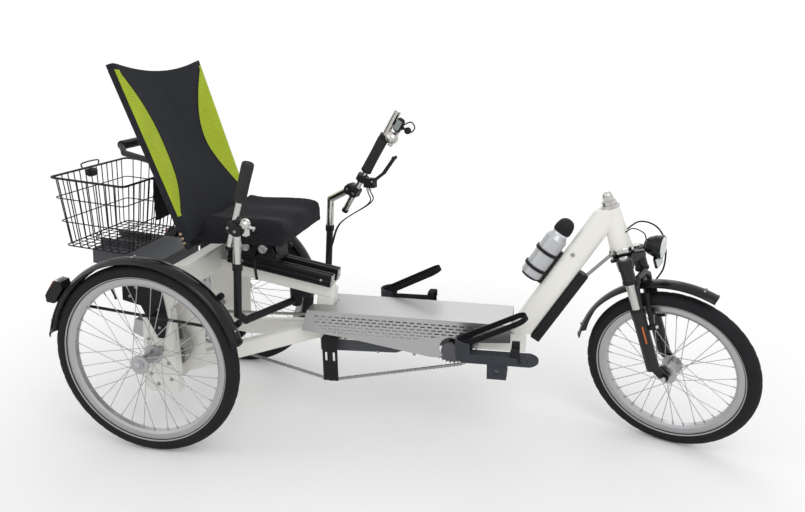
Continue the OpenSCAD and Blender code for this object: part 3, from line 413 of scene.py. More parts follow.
def backrest():
    """Padded cloth turned round the tubes: a black hourglass with a mesh panel on each side."""
    shape = Shape()
    side_cols, mid_cols, wrap_cols, up = 10, 24, 7, 60
    low, high, widest, edge_u = 0.15, 0.965, 0.94, 0.95

    def waist(v):
        """Half width of the black cloth at a height."""
        t = (v - low) / (high - low)
        return min(widest, 0.985 - (0.45 * math.sin(math.pi * t) ** 0.85 if 0 < t < 1 else 0))

    def front(u, v):
        """How far the cloth stands out: a hollow across it and a swell for the small of the back."""
        dish = -32 * (1 - u * u) * (0.35 + 0.65 * math.sin(math.pi * v))
        lumbar = 12 * math.exp(-((v - 0.30) / 0.16) ** 2) * (1 - u * u)
        return 15 + dish + lumbar

    def columns(v):
        """Places across the cloth: one panel, the middle, the other panel."""
        w = waist(v)
        edge = [w + (edge_u - w) * k / side_cols for k in range(side_cols, 0, -1)]
        return [-u for u in edge] + [w * (2 * k / mid_cols - 1) for k in range(mid_cols + 1)] + edge[::-1]

    def height(u, v):
        """Height of a row of cloth, which rises towards the tubes."""
        return 0.02 + v * (0.965 + 0.05 * u * u)

    def hem(v, side, radius):
        """The cloth's turn round a tube, from its front to behind its outer side."""
        axis = back_spot(side, height(1, v))
        turns = [math.radians(115 * k / wrap_cols) for k in range(1, wrap_cols + 1)]
        return [axis + BACK_WAY * (radius * math.cos(t)) + Vector((0, side * radius * math.sin(t), 0))
                for t in turns]

    rows = []
    for i in range(up + 1):
        v = i / up
        us = columns(v)
        face = [back_spot(u, height(u, v), front(u, v)) for u in us]
        back = [back_spot(u, height(u, v), front(u, v) - 11 - 3 * (1 - u * u)) for u in us]
        outer, inner = BACK_TUBE_R + 1.6, BACK_TUBE_R + 0.4
        face = hem(v, -1, outer)[::-1] + face + hem(v, 1, outer)
        back = hem(v, -1, inner)[::-1] + back + hem(v, 1, inner)
        rows.append(face + back[::-1])
    size = len(rows[0]) // 2

    def kind(i, j):
        col = (j if j < size else 2 * size - 2 - j) - wrap_cols
        inside = low < (i + 0.5) / up < high
        far = side_cols + mid_cols
        return 1 if inside and (-2 <= col < side_cols or far <= col < far + side_cols + 2) else 0

    shape.grid(rows, caps="strip", kind=kind)
    obj = shape.piece("backrest_cloth", "frame", "back_cloth", BACK_CLOTH, LIME_MESH,
                      replaces=("back_fabric",))
    hems = Shape()
    for side in (-1, 1):
        line = [(waist(v), v) for v in (low + (high - low) * k / 40 for k in range(41))]
        hems.tube([back_spot(side * u, height(u, v), front(u, v) + 0.4) for u, v in line], 1.6, 6)
    hems.piece("backrest_hems", "frame", "back_cloth", BACK_CLOTH)
    bolts = Shape()
    for side in (-1, 1):
        for z in (640, 654, 668):
            spot = back_spot(side, (z - BACK_FOOT[2]) / (BACK_HEAD[2] - BACK_FOOT[2]))
            bolts.bolt(spot + Vector((0, side * BACK_TUBE_R, 0)), (0, side, 0), 5)
    bolts.piece("backrest_bolts", "frame", "steel", BRASS)


def flap():
    """Cloth flap that hangs from the back of the backrest, under the push bar."""
    shape = Shape()
    width, cols = 200, 10
    line = bend([(6, 0, 872), (-30, 0, 852), (-56, 0, 806), (-62, 0, 740), (-62, 0, 672)], 5)
    length = sum((b - a).length for a, b in zip(line, line[1:]))
    rows = []
    for i, q in enumerate(line):
        t = i / (len(line) - 1)
        ys = [-width / 2 + width * j / cols for j in range(cols + 1)]
        wave = [2.5 * t * math.sin(j * 1.1) for j in range(cols + 1)]
        rows.append([(q.x + w, y, q.z) for y, w in zip(ys, wave)]
                    + [(q.x + w - 1.2, y, q.z - 0.6) for y, w in zip(ys[::-1], wave[::-1])])
    shape.grid(rows, caps="strip")
    obj = shape.piece("back_flap", "frame", "back_cloth", BACK_CLOTH)


def tyre(name, body, node, place, radius):
    """A road tyre: fine grooves across the tread and a pale stripe on each wall."""
    shape = Shape(place)
    turns, around = 216, 30
    half, mid, bead, groove = TYRE_W / 2, radius - TYRE_W / 2, 152, 1.3
    rows = []
    for i in range(turns + 1):
        t = 2 * math.pi * i / turns
        ring = []
        for j in range(around + 1):
            a = math.radians(-bead + 2 * bead * j / around)
            r = half
            crown = abs(math.degrees(a))
            if crown < 52:
                herring = (i + int(crown / 9)) % 6 < 2
                r -= groove if herring and crown > 7 else 0.0
            reach = mid + r * math.cos(a)
            ring.append((reach * math.cos(t), r * math.sin(a), reach * math.sin(t)))
        rows.append(ring)

    def kind(_, j):
        crown = abs(-bead + 2 * bead * (j + 0.5) / around)
        return 1 if 118 < crown < 127 else 0

    shape.grid(rows, closed=True, kind=kind)
    shape.piece(name, body, "tyre_rubber", RUBBER, STRIPE, replaces=(node,))


# Handles: side, clamp, tube foot and head, grip start and end along the tube, in the steering bar's frame
HANDLES = ((-1, (-4, 296), (-46, 238), (46, 488), 150, 262), (1, (72, 328), (45, 250), (258, 596), 170, 300))
BAR_Y = 262
LEVER_AT = 138


def handle_line(handle):
    """Foot, head and direction of a handle's tube."""
    y = handle[0] * BAR_Y
    foot, head = (Vector((q[0], y, q[1])) for q in handle[2:4])
    return foot, head, (head - foot).normalized()


def handles():
    """Chrome posts and tubes, black clamps with their screws, and foam grips."""
    bright, dark, grips, screws = Shape(BAR), Shape(BAR), Shape(BAR), Shape(BAR)
    for h in HANDLES:
        side, clamp, start, end = h[0], h[1], h[4], h[5]
        foot, head, way = handle_line(h)
        y = side * BAR_Y
        low, knee, eye = Vector((-34, y, 30)), Vector((-12, y, 286)), Vector((clamp[0], y, clamp[1]))
        rise, reach = (knee - low).normalized(), (eye - knee).normalized()
        cut = low + (knee - low) * 0.62
        bright.tube(bend([cut, knee - rise * 14, knee, knee + reach * 10, eye], 6), 12.9, 24)
        bright.tube([foot, foot + way * start], 10.7, 24)
        if side > 0:
            bright.tube([foot + way * end, head + way * 0.4], 11.5, 24)
        dark.lathe([(13.2, -20), (15.5, -17), (15.5, 2), (13, 4)], cut, rise, 28)
        dark.lathe([(4, -7), (11, -6), (12, -3), (12, 5), (10.9, 6)], foot, way, 24)
        turn = Matrix.Rotation(math.atan2(way.x, way.z), 3, "Y")
        on_tube = foot + way * (eye - foot).dot(way)
        mid = (on_tube + eye) / 2
        dark.block(mid - Vector((24, 23, 19)), mid + Vector((24, 23, 19)), 6, turn=turn)
        for dx in (-13, 13):
            for out in (-1, 1):
                screws.bolt(mid + turn @ Vector((dx, out * 23, 0)), (0, out, 0), 5)
        length = end - start
        grips.lathe([(10.9, 0), (15.8, 0.4), (17.6, 2.5), (18, 6), (17.2, length * 0.5), (18, length - 8),
                     (18, length - 3), (16, length), (11, length)], foot + way * start, way, 32)
        if side < 0:
            plug = [(17.4, 0), (17.6, 6), (15.5, 8.5), (13.6, 7.4), (2, 7.4)]
            grips.lathe(plug, foot + way * (end - 1), way, 32)
        else:
            dark.lathe([(15.5, -4), (18.6, -3), (18.6, 4), (15.5, 5)], foot + way * start, way, 32)
    bright.piece("handle_tubes", "steering_bar", "chrome", CHROME)
    dark.piece("handle_clamps", "steering_bar", "satin_black", SATIN_BLACK)
    grips.piece("grip_foam", "steering_bar", "foam", FOAM, replaces=("grips",))
    screws.piece("handle_screws", "steering_bar", "steel", STEEL)


def hand_fittings():
    """Bell, display and knob on a side tube, trim of the levers, and a clamp knob on the right handle."""
    bright, dark, glass = Shape(BAR), Shape(BAR), Shape(BAR)
    foot, _, way = handle_line(HANDLES[1])
    out = Vector((way.z, 0, -way.x))
    side = Vector((0, -1, 0))
    base = foot + way * 306
    dark.lathe([(12, -8), (17, -7), (17, 7), (12, 8)], base, way, 28)
    arm = base + out * 30 - side * 4
    dark.block(base + out * 20 - Vector((9, 8, 7)), base + out * 20 + Vector((9, 8, 7)), 3)
    bright.tube([arm - way * 16, arm + way * 78], 8, 20)
    bell = arm + way * 14 + side * 14
    bright.lathe([(0, 26), (9, 25), (16, 21), (20, 13), (21, 5), (21, 0), (19, 0)],
                 bell, side + way * 0.5, 28)
    dark.lathe([(9, -10), (12, -9), (12, 4), (9, 5)], arm + way * 14, way, 20)
    dark.lathe([(9, -8), (12, -7), (12, 7), (9, 8)], arm + way * 58, way, 20)
    turn = Matrix.Rotation(math.atan2(way.x, way.z), 3, "Y")
    shown = arm + way * 66 + side * 16
    dark.block(shown - Vector((13, 9, 24)), shown + Vector((13, 9, 24)), 5, turn=turn)
    pane, half = shown + side * 9, Vector((9, 0.8, 17))
    glass.block(pane - half, pane + half, 0.6, turn=turn)
    knob = arm + way * 62 + out * 30
    dark.tube([arm + way * 58, knob], 4, 12)
    dark.lathe([(0, -11), (6, -10), (11, -5), (12, 0), (11, 5), (6, 10), (0, 11)], knob, out, 24)
    dark.tube(bend([arm + way * 70 + out * 8, arm + way * 92 + out * 26, arm + way * 84 + out * 46,
                    arm + way * 66 + out * 44, knob + out * 6], 8), 2.2, 8)
    body = foot + way * LEVER_AT
    for y in (-9, 9):
        pivot = body + Vector((44, y, -10))
        bright.lathe([(0, -7.5), (5, -7), (5, 7), (0, 7.5)], pivot, (0, 1, 0), 16)
        tip = foot + way * 240 + Vector((70, y, -12))
        dark.lathe([(0, -6), (4, -5), (6, 0), (4, 5), (0, 6)], tip, way, 16)
        bright.lathe([(2.5, 0), (4.5, 1), (4.5, 12), (3, 14)], body + Vector((24, y, -30)), (0.1, 0, -1), 14)
    foot, _, way = handle_line(HANDLES[0])
    out = Vector((way.z, 0, -way.x))
    eye = foot + way * 92 + out * 34
    bright.lathe([(0, -14), (10, -13), (16, -7), (18, 0), (16, 8), (9, 13), (0, 14)], eye, (0, 1, 0), 28)
    bright.tube([eye, eye + out * 30], 4.5, 14)
    bright.lathe([(3, 0), (7, 1), (7, 7), (4, 9)], eye + out * 28, out, 6)
    bright.block(eye + Vector((-8, -9, -36)), eye + Vector((12, 9, -8)), 4)
    root, half = foot + way * 92, Vector((10, 14, 10))
    dark.block(root + out * 4 - half, root + out * 22 + half, 4)
    bright.piece("hand_fittings", "steering_bar", "chrome", CHROME)
    dark.piece("hand_fittings_black", "steering_bar", "black_plastic", PLASTIC)
    glass.piece("display_face", "steering_bar", "black_plastic", SCREEN)


def basket():
    """Wire basket: rim, rings and uprights of round wire, a meshed floor, a loop and a catch."""
    place = DECK @ Matrix.Translation((-207, 0, 18))
    wire, trim = Shape(place), Shape(place)
    low, top, depth, thin = (105.3, 176.3), (127.5, 210.5), 228, 1.8

    def ring(f, corner=16, steps=6):
        """The basket's outline at a share of its depth, with round corners."""
        hx, hy = (low[k] + (top[k] - low[k]) * f for k in (0, 1))
        points = []
        for sx, sy, start in ((1, 1, 0), (-1, 1, 90), (-1, -1, 180), (1, -1, 270)):
            mid = (sx * (hx - corner), sy * (hy - corner), depth * f)
            points += arc(mid, corner, start, start + 90, steps, "xy")
        return points + points[:1]

    for f, r in ((0.0, 2.2), (0.36, thin), (0.7, thin), (0.985, 3.6)):
        wire.tube(ring(f), r, 10)
    for half, other, count, swap in ((low[0], low[1], 7, False), (low[1], low[0], 13, True)):
        grow = (top[1] / low[1]) if swap else (top[0] / low[0])
        for i in range(count):
            t = (2 * i / (count - 1) - 1) * (half - 24) / half
            for sign in (-1, 1):
                foot, head = (t * half, sign * other), (t * half * grow, sign * (top[0] if swap else top[1]))
                bottom = (foot[0], foot[1] * 0.94)
                line = [(*bottom, 0), (foot[0], foot[1] * 0.985, 3), (*foot, 12), (*head, depth - 3)]
                line = [(q[1], q[0], q[2]) if swap else q for q in line]
                wire.tube(line, thin, 8)
    for i in range(1, 12):
        y = -low[1] + 2 * low[1] * i / 12
        wire.tube([(-low[0], y, 0.5), (low[0], y, 0.5)], 1.5, 8)
    for i in range(1, 8):
        x = -low[0] + 2 * low[0] * i / 8
        wire.tube([(x, -low[1], 2), (x, low[1], 2)], 1.5, 8)
    handle = [(-128, -44, depth - 2), (-129, -42, depth + 14), (-129, 42, depth + 14), (-128, 44, depth - 2)]
    hook = [(-104, -10, 2), (-112, -6, -22), (-114, 0, -30), (-112, 6, -22), (-104, 10, 2)]
    wire.tube(bend(handle, 8), 2.4, 10)
    wire.tube(bend(hook, 6), 2.0, 8)
    trim.block((-134, -21, depth - 34), (-112, 21, depth - 8), 5)
    trim.lathe([(8, 0), (9, 2), (9, 8), (6, 10)], (-134, 0, depth - 21), (-1, 0, 0), 20)
    wire.piece("basket_wires", "frame", "satin_black", SATIN_BLACK, replaces=("basket",))
    trim.piece("basket_catch", "frame", "black_plastic", PLASTIC)


def lamps():
    """Lenses of the lamps, the front lamp's reflector and the tail lights' red faces."""
    lens = Shape(FORK)
    lamp, ahead = Vector((84, 0, 392)), Vector((0.953, 0, -0.302))
    lens.lathe([(30.5, 32), (31, 35), (27, 39), (16, 42), (0, 43)], lamp, ahead, 40)
    for r in (11, 20):
        low = r * 0.12
        lens.lathe([(r, 41.5 - low), (r + 1.6, 42.2 - low), (r + 3.2, 41 - low)], lamp, ahead, 40)
    lens.block((96, -24, 331), (101, 24, 356), 2)
    lens.piece("headlamp_lens", "steering", "lamp_black", LENS)
    rim = Shape(FORK)
    rim.lathe([(31, 28), (34, 30), (34.6, 34), (32, 37), (30.4, 36)], lamp, ahead, 40)
    rim.block((90, -27, 328), (97, 27, 359), 3)
    rim.tube([(92, 0, 344), (84, 0, 374)], 5, 10)
    rim.piece("headlamp_rim", "steering", "lamp_black", GLOSS_BLACK)
    for side in (-1, 1):
        place = local_frame((0, side * TRACK / 2, REAR_R), (-143, "Y")) @ Matrix.Translation((322.3, 0, 0))
        face = Shape(place)
        face.block((30, -19, -30), (38.5, 19, 24), 3, kind=0)
        for k in range(5):
            face.block((38, -17, -26 + k * 10), (39.6, 17, -20 + k * 10), 0.8, kind=0)
        face.block((24, -20, -41), (35, 20, -31), 3, kind=1)
        name = "right" if side < 0 else "left"
        face.piece("tail_lens_" + name, "frame", "lamp_red", LAMP_RED, LENS)
        NODES["tail_light_" + name].data.materials[0] = GLOSS_BLACK


def bottle_trim():
    """Black cap with a ribbed skirt and a clear collar over the bottle's neck."""
    cap, collar = Shape(BOTTLE_PLACE), Shape(BOTTLE_PLACE)
    cap.lathe([(24, 158), (26, 159), (26, 178), (25.4, 184), (22.5, 192), (16, 199.5), (8, 203), (0, 204)],
              (0, 0, 0), (0, 0, 1), 40)
    for k in range(30):
        t = 2 * math.pi * k / 30
        x, y = 26 * math.cos(t), 26 * math.sin(t)
        cap.tube([(x, y, 161), (x, y, 177)], 0.9, 6)
    collar.lathe([(22.5, 150), (24.5, 151), (24.5, 157), (22.5, 158)], (0, 0, 0), (0, 0, 1), 40)
    cap.piece("bottle_cap", "frame", "black_plastic", PLASTIC)
    collar.piece("bottle_collar", "frame", "bottle_silver", LENS)


def wheel_trim(name, body, place, seat, hub, mirror, cap_side):
    """Spoke nipples, valve, hub end caps and the rim's edges of one wheel."""
    shape, valve = Shape(place), Shape(place)
    rim_in = seat + 4 - 22
    for i in range(36):
        lead = 1 if i // 2 % 2 == 0 else -1
        out = 1 if i % 2 == 0 else -1
        a, b = math.radians(i * 10), math.radians(i * 10 + 56 * lead)
        head = Vector(((rim_in + 1) * math.cos(a), mirror * out * 3, (rim_in + 1) * math.sin(a)))
        foot = Vector((25 * math.cos(b), mirror * out * (hub - 4 + 2.6 * lead), 25 * math.sin(b)))
        way = (foot - head).normalized()
        shape.tube([head, head + way * 9, head + way * 14], [2.3, 2.0, 1.2], 8)
        shape.lathe([(0, -1), (2.4, -0.8), (2.4, 0.8), (0, 1)], foot, (0, 1, 0), 8)
    for y in (-1, 1):
        flange = [(24, hub - 1.5), (29.6, hub - 2), (29.6, hub - 6.5), (24, hub - 7)]
        collar = [(17.2, hub - 8), (18.5, hub - 14), (18.5, hub - 18), (17.2, hub - 22)]
        shape.lathe(flange, (0, 0, 0), (0, y, 0), 48)
        shape.lathe(collar, (0, 0, 0), (0, y, 0), 40)
        shape.tube(arc((0, y * 13.4, 0), seat + 5.4, 0, 360, 120), 1.3, 6)
    for y in cap_side:
        nut = [(14, -0.5), (14, 3), (10, 4), (10, 9), (7, 11), (0, 11.5)]
        shape.lathe([(r, hub + h) for r, h in nut], (0, 0, 0), (0, y, 0), 24)
    t = math.radians(112)
    way = Vector((math.cos(t), 0, math.sin(t)))
    valve.tube([way * (rim_in + 2), way * (rim_in - 26), way * (rim_in - 30)], [3.4, 3.2, 2.0], 12)
    valve.lathe([(4.2, 0), (4.2, 8), (3.4, 9.5), (0, 10)], way * (rim_in - 24), -way, 12)
    shape.piece(name + "_trim", body, "bare_metal", BARE_METAL)
    valve.piece(name + "_valve", body, "black_plastic", PLASTIC)


def chain_links():
    """The chain's links: pairs of waisted plates and rollers, one for each pitch of the loop."""
    clear = 7.5
    wheels = [((0, REAR_R), 40.59 + clear), ((482, 152), 14 + clear - 2.7),
              ((CRANK_X, CRANK_Z), 68.83 + clear)]
    points = []
    normals = []
    for k, (a, ra) in enumerate(wheels):
        b, rb = wheels[(k + 1) % 3]
        d = math.hypot(b[0] - a[0], b[1] - a[1])
        normals.append(math.atan2(b[1] - a[1], b[0] - a[0]) - math.acos((ra - rb) / d))
    for k, (a, ra) in enumerate(wheels):
        start, end = normals[k - 1], normals[k]
        while end < start:
            end += 2 * math.pi
        steps = max(2, round((end - start) * ra / PITCH))
        points += [(a[0] + ra * math.cos(start + (end - start) * i / steps),
                    a[1] + ra * math.sin(start + (end - start) * i / steps)) for i in range(steps)]
        last = (a[0] + ra * math.cos(end), a[1] + ra * math.sin(end))
        b, rb = wheels[(k + 1) % 3]
        goal = (b[0] + rb * math.cos(normals[k]), b[1] + rb * math.sin(normals[k]))
        steps = max(2, round(math.hypot(goal[0] - last[0], goal[1] - last[1]) / PITCH))
        points += [(last[0] + (goal[0] - last[0]) * i / steps, last[1] + (goal[1] - last[1]) * i / steps)
                   for i in range(steps)]
    shape = Shape()
    profile = [(-0.36, 0), (-0.25, 3.9), (0.14, 4.2), (0.5, 2.9), (0.86, 4.2), (1.25, 3.9), (1.36, 0)]
    for i, a in enumerate(points):
        b = points[(i + 1) % len(points)]
        way = Vector((b[0] - a[0], 0, b[1] - a[1]))
        up = Vector((-way.z, 0, way.x)).normalized()
        out = 3.1 if i % 2 else 2.0
        for sign in (-1, 1):
            rows = []
            for y in (CHAIN_Y + sign * out, CHAIN_Y + sign * (out + 1.0)):
                mid = Vector((a[0], y, a[1]))
                ring = [mid + way * t + up * h for t, h in profile]
                ring += [mid + way * t - up * h for t, h in profile[-2:0:-1]]
                rows.append(ring)
            shape.grid(rows, caps=True)
        shape.lathe([(3.6, -3.2), (3.6, 3.2)], (a[0], CHAIN_Y, a[1]), (0, 1, 0), 8)
    shape.piece("chain_links", "frame", "steel", STEEL, smooth=False, replaces=("chain",))


def fork_trim():
    """Bright stanchions, seals, a plain stripe on each leg, brake and axle bolts and the rod's stud."""
    bright, dark, stripe = Shape(FORK), Shape(FORK), Shape(FORK)
    for y in (-56, 56):
        bright.tube([(22, y, 217), (22, y, 306)], 14.4, 28)
        dark.lathe([(15, 0), (20, 0), (21, 3), (19, 9), (15, 11)], (22, y, 214), (0, 0, 1), 32)
        dark.lathe([(19.4, 0), (20.4, 2), (20.4, 8), (19.4, 10)], (22, y, 303), (0, 0, 1), 32)
        bright.lathe([(13, 0), (13, 4), (11, 6), (6, 6.5), (0, 6.5)], (22, y, 377), (0, 0, 1), 28)
        side = 1 if y > 0 else -1
        band = [math.radians(t) for t in (58, 64, 70)]
        stripe.grid([[(22 + 19.3 * math.cos(t), y + side * 19.3 * math.sin(t), z) for t in band]
                     for z in (120, 138, 156, 174)], closed=False)
        bright.bolt((60, side * 48, 160), (1, 0, 0), 6)
        bright.bolt((46, side * 63, 0), (0, side, 0), 8)
        dark.block((46, side * 18 - 3, 186), (56, side * 18 + 3, 206), 2)
    bright.tube([(-14, -44, 376), (-14, -44, 399)], 3.6, 14)
    bright.lathe([(6, 0), (6, 5), (3, 6)], (-14, -44, 399), (0, 0, 1), 6)
    bright.lathe([(33.4, 384), (34.4, 386), (34.4, 390), (33.2, 392)], (0, 0, 0), (0, 0, 1), 40)
    bright.piece("fork_bright", "steering", "chrome", CHROME)
    dark.piece("fork_seals", "steering", "fork_black", PLASTIC)
    stripe.piece("fork_stripes", "steering", "fork_black", AMBER)


def cable(name, body, place, points, radius=2.5, steps=12):
    """A free cable in one body's frame that leaves the part and goes back into it."""
    path = [place @ Vector(q) for q in bend(points, steps)]
    shape = Shape(Matrix.Identity(4))
    shape.tube(path, radius * MM, 8)
    obj = shape.piece(name, body, "black_plastic", PLASTIC)
    length = sum((b - a).length for a, b in zip(path, path[1:]))
    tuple(path[0])


def cables():
    """Brake and lamp cables, each on one body."""
    cable("brake_cable", "steering", FORK, [(22, 10, 444), (62, 28, 458), (100, 40, 432), (112, 42, 380),
                                            (92, 40, 310), (60, 33, 272), (54, 30, 262)])
    cable("lamp_cable", "steering", FORK, [(22, -8, 440), (54, -14, 452), (80, -12, 434), (80, -6, 410)],
          1.8)
    foot, _, way = handle_line(HANDLES[1])
    body = foot + way * LEVER_AT
    for k, y in enumerate((-9, 9)):
        start = body + Vector((25, y, -43))
        inside = BAR_Y - 22 - 6 * k
        cable("lever_cable_" + "ab"[k], "steering_bar", BAR,
              [start, start + Vector((4, -4, -40)), (40, inside, 210), (2, inside, 130),
               (-20, BAR_Y - 20 - 4 * k, 70), (-33, BAR_Y - 3, 38)], 2.2)


def seat_trim():
    """End caps and screws of the rails, clamp knobs and release levers of the seat's carriage."""
    bright, dark = Shape(SEAT), Shape(SEAT)
    for y in (-36, 36):
        bright.block((0.2, y - 16, -19), (4, y + 16, 19), 3)
        bright.bolt((4, y, 0), (1, 0, 0), 5)
        for x in (-300, -30):
            bright.bolt((x, y + (17 if y > 0 else -17), 0), (0, 1 if y > 0 else -1, 0), 5)
        for z in (-13, 0, 13):
            out = 17 if y > 0 else -17
            dark.block((-352, y + out - 0.9, z - 1.6), (0, y + out + 0.9, z + 1.6), 0.6)
    bright.piece("rail_caps", "frame", "bare_metal", BARE_METAL)
    dark.piece("rail_ribs", "frame", "satin_black", SATIN_BLACK)
    knobs, levers = Shape(), Shape()
    for x, z in ((226, 590), (284, 584)):
        knobs.lathe([(8, 0), (8, 10), (15, 12), (16, 18), (14, 25), (6, 27), (0, 27)],
                    (x, -52, z), (0, -1, 0), 24)
        knobs.lathe([(9, 0), (9, 6), (5, 8)], (x, 52, z), (0, 1, 0), 6)
    levers.tube(bend([(255, -50, 566), (258, -78, 556), (262, -92, 520), (266, -94, 488)], 8), 4.5, 12)
    levers.tube(bend([(300, -50, 600), (330, -90, 592), (352, -128, 586), (366, -150, 590)], 8), 5, 12)
    levers.lathe([(0, -14), (6, -12), (8, 0), (6, 12), (0, 14)], (366, -150, 590), (0.4, -0.6, 0.1), 16)
    levers.block((196, -56, 606), (314, 56, 616), 3)
    levers.block((196, -60, 562), (206, 60, 606), 3)
    levers.block((304, -60, 552), (314, 60, 606), 3)
    knobs.piece("seat_knobs", "frame", "bare_metal", BARE_METAL)
    levers.piece("seat_levers", "frame", "satin_black", SATIN_BLACK)


def frame_trim():
    """Bolts of the axle plates, thin dark plates along the beam that paint the slots' shade, and the head tube's
    bearing rings.
    """
    steel, dark = Shape(), Shape()
    for side in (-1, 1):
        face = side * 255.2
        for x, z in ((-46, 210), (-24, 176), (24, 196), (20, 250), (-40, 330)):
            steel.bolt((x, face, z), (0, side, 0), 6)
        face = side * 259.6
        for x, z in ((-60, 500), (0, 520), (8, 430), (6, 372), (-84, 470)):
            steel.bolt((x, face, z), (0, side, 0), 5.5)
        for x, z in ((-70, 376), (-66, 340)):
            steel.bolt((x, side * 206 - side * 15, z), (0, -side, 0), 4)
    # Thin black plates shaped like the beam's slots, laid on its faces: painted shade standing in for the shade
    # inside the slots
    for i in range(5):
        x = 452 + i * 19
        dark.grid([[(x + dx, y, 277 + dz) for dx, dz in ((0, 0), (6, 0), (15, 13), (9, 13))]
                   for y in (-30.6, -29.4)], caps=True)
        dark.grid([[(x + dx, -y, 277 + dz) for dx, dz in ((0, 0), (6, 0), (15, 13), (9, 13))]
                   for y in (-30.6, -29.4)], caps=True)
    steel.bolt((1236, -27, 592), (0, -1, 0), 6)
    for x in (470, 640, 760):
        steel.bolt((x, -26, 240), (0, -1, 0), 5)
    steel.piece("frame_bolts", "frame", "steel", STEEL)
    dark.piece("beam_slot_painted_shade", "frame", "satin_black", SATIN_BLACK)
    rings = Shape(HEAD)
    rings.lathe([(33.2, 388.5), (34.6, 390), (34.6, 398), (33.4, 400)], (0, 0, 0), (0, 0, 1), 48)
    rings.lathe([(25.2, 518), (26.8, 520), (26.8, 527), (25, 529)], (0, 0, 0), (0, 0, 1), 48)
    rings.piece("head_rings", "frame", "chrome", CHROME)


def guard_trim():
    """Rolled edges, rivets and clamp knobs of the mudguards."""
    for name, body, place, r, half, start, end in (
            ("right", "frame", wheel_frame(-1), 322, 30, 13, 168),
            ("left", "frame", wheel_frame(1), 322, 30, 13, 168),
            ("front", "steering", FRONT_WHEEL, 287, 28, 49, 152)):
        shape, bolts = Shape(place), Shape(place)
        bow = 40
        edge = r - bow + math.sqrt(bow * bow - half * half) - 0.6
        for y in (-half, half):
            shape.tube(arc((0, y * 0.98, 0), edge, start, end, 60), 2.2, 8)
        for a in (start + 1.0, end - 1.0):
            t = math.radians(a)
            bows = [k * math.pi / 16 for k in range(-4, 5)]
            across = [(r - bow + bow * math.cos(b), bow * math.sin(b)) for b in bows]
            shape.tube([(q * math.cos(t), y, q * math.sin(t)) for q, y in across], 2.2, 8)
        for a in (start + 8, (start + end) / 2, end - 8):
            t = math.radians(a)
            way = Vector((math.cos(t), 0, math.sin(t)))
            for y in (-8, 8):
                bolts.bolt(way * (r - 0.6) + Vector((0, y, 0)), way, 4)
        shape.piece("guard_edge_" + name, body, "gloss_black", GLOSS_BLACK)
        bolts.piece("guard_rivets_" + name, body, "steel", STEEL)
    knobs = Shape()
    for side in (-1, 1):
        for a in (22, 40, 146):
            t = math.radians(a)
            spot = Vector((306 * math.cos(t), side * (TRACK / 2 - 50), REAR_R + 306 * math.sin(t)))
            knobs.lathe([(6, -10), (10, -8), (10, 8), (6, 10)], spot, (0, 1, 0), 20)
    knobs.piece("guard_knobs", "frame", "black_plastic", PLASTIC)


def foot_trim():
    """Ribs on the foot plates, bands round the pedals' blocks and buckles on the straps."""
    drop = math.radians(7)
    for side, body in ((-1, "pedal_right"), (1, "pedal_left")):
        x0 = CRANK_X - side * 150 * math.cos(drop)
        z0 = CRANK_Z + side * 150 * math.sin(drop)
        y0 = side * (98 + 12 + 4)
        place = local_frame((x0, y0, z0))
        flip = -1 if side < 0 else 1
        ribs, buckle = Shape(place), Shape(place)
        for k in range(9):
            x = -70 + k * 19
            ribs.block((x, flip * 43 - 30, 31), (x + 7, flip * 43 + 30, 32.8), 0.8)
        for z in (-18, 6):
            ribs.block((-29, min(flip * 10, flip * 76), z), (29, max(flip * 10, flip * 76), z + 3), 1)
        buckle.block((38, flip * 82 - 4, 50), (64, flip * 82 + 4, 74), 2)
        buckle.block((44, flip * 84 - 4, 56), (58, flip * 84 + 4, 68), 2)
        name = "right" if side < 0 else "left"
        ribs.piece("foot_ribs_" + name, body, "foot_grey", FOOT_GREY)
        buckle.piece("strap_buckles_" + name, body, "black_plastic", PLASTIC)


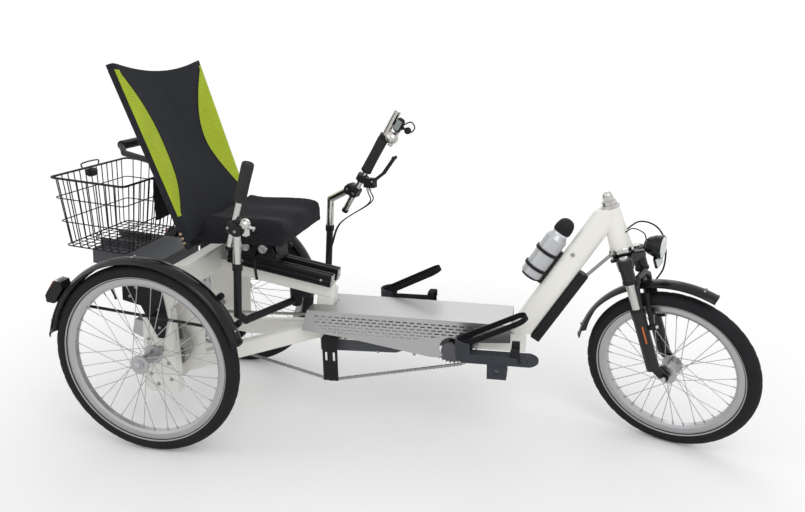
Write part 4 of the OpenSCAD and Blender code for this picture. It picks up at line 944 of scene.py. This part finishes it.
# Stage
def stage():
    """A pale floor, white where the camera looks past the part, with soft light from all round."""
    bpy.ops.mesh.primitive_plane_add(size=40)
    floor = bpy.context.object
    floor.name = "floor"
    mat = bpy.data.materials.new("floor_white")
    n, links = nodes_of(mat)
    shader = n["Principled BSDF"]
    shader.inputs["Base Color"].default_value = (0.93, 0.93, 0.93, 1)
    shader.inputs["Roughness"].default_value = 0.9
    shader.inputs["Specular IOR Level"].default_value = 0.1
    shader.inputs["Emission Color"].default_value = (1, 1, 1, 1)
    seen = n.new("ShaderNodeLightPath")
    spot = n.new("ShaderNodeTexCoord")
    far = n.new("ShaderNodeVectorMath")
    far.operation = "LENGTH"
    links.new(spot.outputs["Object"], far.inputs[0])
    lift = n.new("ShaderNodeMapRange")
    lift.inputs["From Min"].default_value = 0.8
    lift.inputs["From Max"].default_value = 3.2
    lift.inputs["To Min"].default_value = 0.06
    lift.inputs["To Max"].default_value = 0.30
    links.new(far.outputs["Value"], lift.inputs["Value"])
    glow = n.new("ShaderNodeMath")
    glow.operation = "MULTIPLY"
    links.new(lift.outputs["Result"], glow.inputs[1])
    links.new(seen.outputs["Is Camera Ray"], glow.inputs[0])
    links.new(glow.outputs[0], shader.inputs["Emission Strength"])
    floor.data.materials.append(mat)
    world = bpy.data.worlds.new("studio")
    bpy.context.scene.world = world
    world.use_nodes = True
    n, links = world.node_tree.nodes, world.node_tree.links
    path = n.new("ShaderNodeLightPath")
    light = n["Background"]
    light.inputs["Color"].default_value = (1, 1, 1, 1)
    light.inputs["Strength"].default_value = 0.75
    seen = n.new("ShaderNodeBackground")
    seen.inputs["Color"].default_value = (1, 1, 1, 1)
    seen.inputs["Strength"].default_value = 1
    mix = n.new("ShaderNodeMixShader")
    looks = path.outputs["Is Camera Ray"]
    for other in ("Is Glossy Ray", "Is Transmission Ray"):
        most = n.new("ShaderNodeMath")
        most.operation = "MAXIMUM"
        links.new(looks, most.inputs[0])
        links.new(path.outputs[other], most.inputs[1])
        looks = most.outputs[0]
    links.new(looks, mix.inputs[0])
    links.new(light.outputs[0], mix.inputs[1])
    links.new(seen.outputs[0], mix.inputs[2])
    links.new(mix.outputs[0], n["World Output"].inputs["Surface"])
    for name, place, size, power in (
            ("key", (1.6, -2.6, 3.2), 2.2, 34),
            ("fill", (-2.6, -1.6, 2.4), 2.6, 10),
            ("rim", (0.2, 2.8, 2.8), 2.2, 14)):
        lamp = bpy.data.lights.new(name, "AREA")
        lamp.size = size
        lamp.energy = power
        obj = bpy.data.objects.new(name, lamp)
        obj.location = place
        obj.rotation_euler = (Vector((0, 0, 0.4)) - obj.location).to_track_quat("-Z", "Y").to_euler()
        bpy.context.scene.collection.objects.link(obj)


def camera():
    """The photograph's own view, fitted from the wheels: 805 by 512 pixels."""
    width, focal, middle = 805, 713.228, (385.384, 256.796)
    yaw, pitch, roll = -0.232, 0.280, -0.022
    ahead = Vector((math.sin(yaw) * math.cos(pitch), math.cos(yaw) * math.cos(pitch), -math.sin(pitch)))
    right = Vector((math.cos(yaw), -math.sin(yaw), 0))
    up = right.cross(ahead)
    right2 = math.cos(roll) * right + math.sin(roll) * up
    up2 = -math.sin(roll) * right + math.cos(roll) * up
    data = bpy.data.cameras.new("camera")
    data.sensor_width = 36
    data.lens = focal / width * data.sensor_width
    data.shift_x = (width / 2 - middle[0]) / width
    data.shift_y = (middle[1] - 256) / width
    cam = bpy.data.objects.new("camera", data)
    m = Matrix((right2, up2, -ahead)).transposed().to_4x4()
    m.translation = at(1163.10, -2106.57, 1176.29)
    cam.matrix_world = m
    bpy.context.scene.collection.objects.link(cam)
    bpy.context.scene.camera = cam


cushion()
backrest()
flap()
handles()
hand_fittings()
basket()
lamps()
bottle_trim()
for side, hand in ((-1, "right"), (1, "left")):
    wheel_trim("rear_wheel_" + hand, "rear_wheel_%s_body" % hand, wheel_frame(side), 254, 44, -side, (side,))
wheel_trim("front_wheel", "front_wheel_body", FRONT_WHEEL, 204, 36, 1, ())
chain_links()
fork_trim()
cables()
seat_trim()
frame_trim()
guard_trim()
foot_trim()
tyre("rear_tyre_skin_right", "rear_wheel_right_body", "rear_tyre_right", wheel_frame(-1), REAR_R)
tyre("rear_tyre_skin_left", "rear_wheel_left_body", "rear_tyre_left", wheel_frame(1), REAR_R)
tyre("front_tyre_skin", "front_wheel_body", "front_tyre", FRONT_WHEEL, FRONT_R)
stage()
camera()
bpy.context.scene.view_settings.view_transform = "Standard"
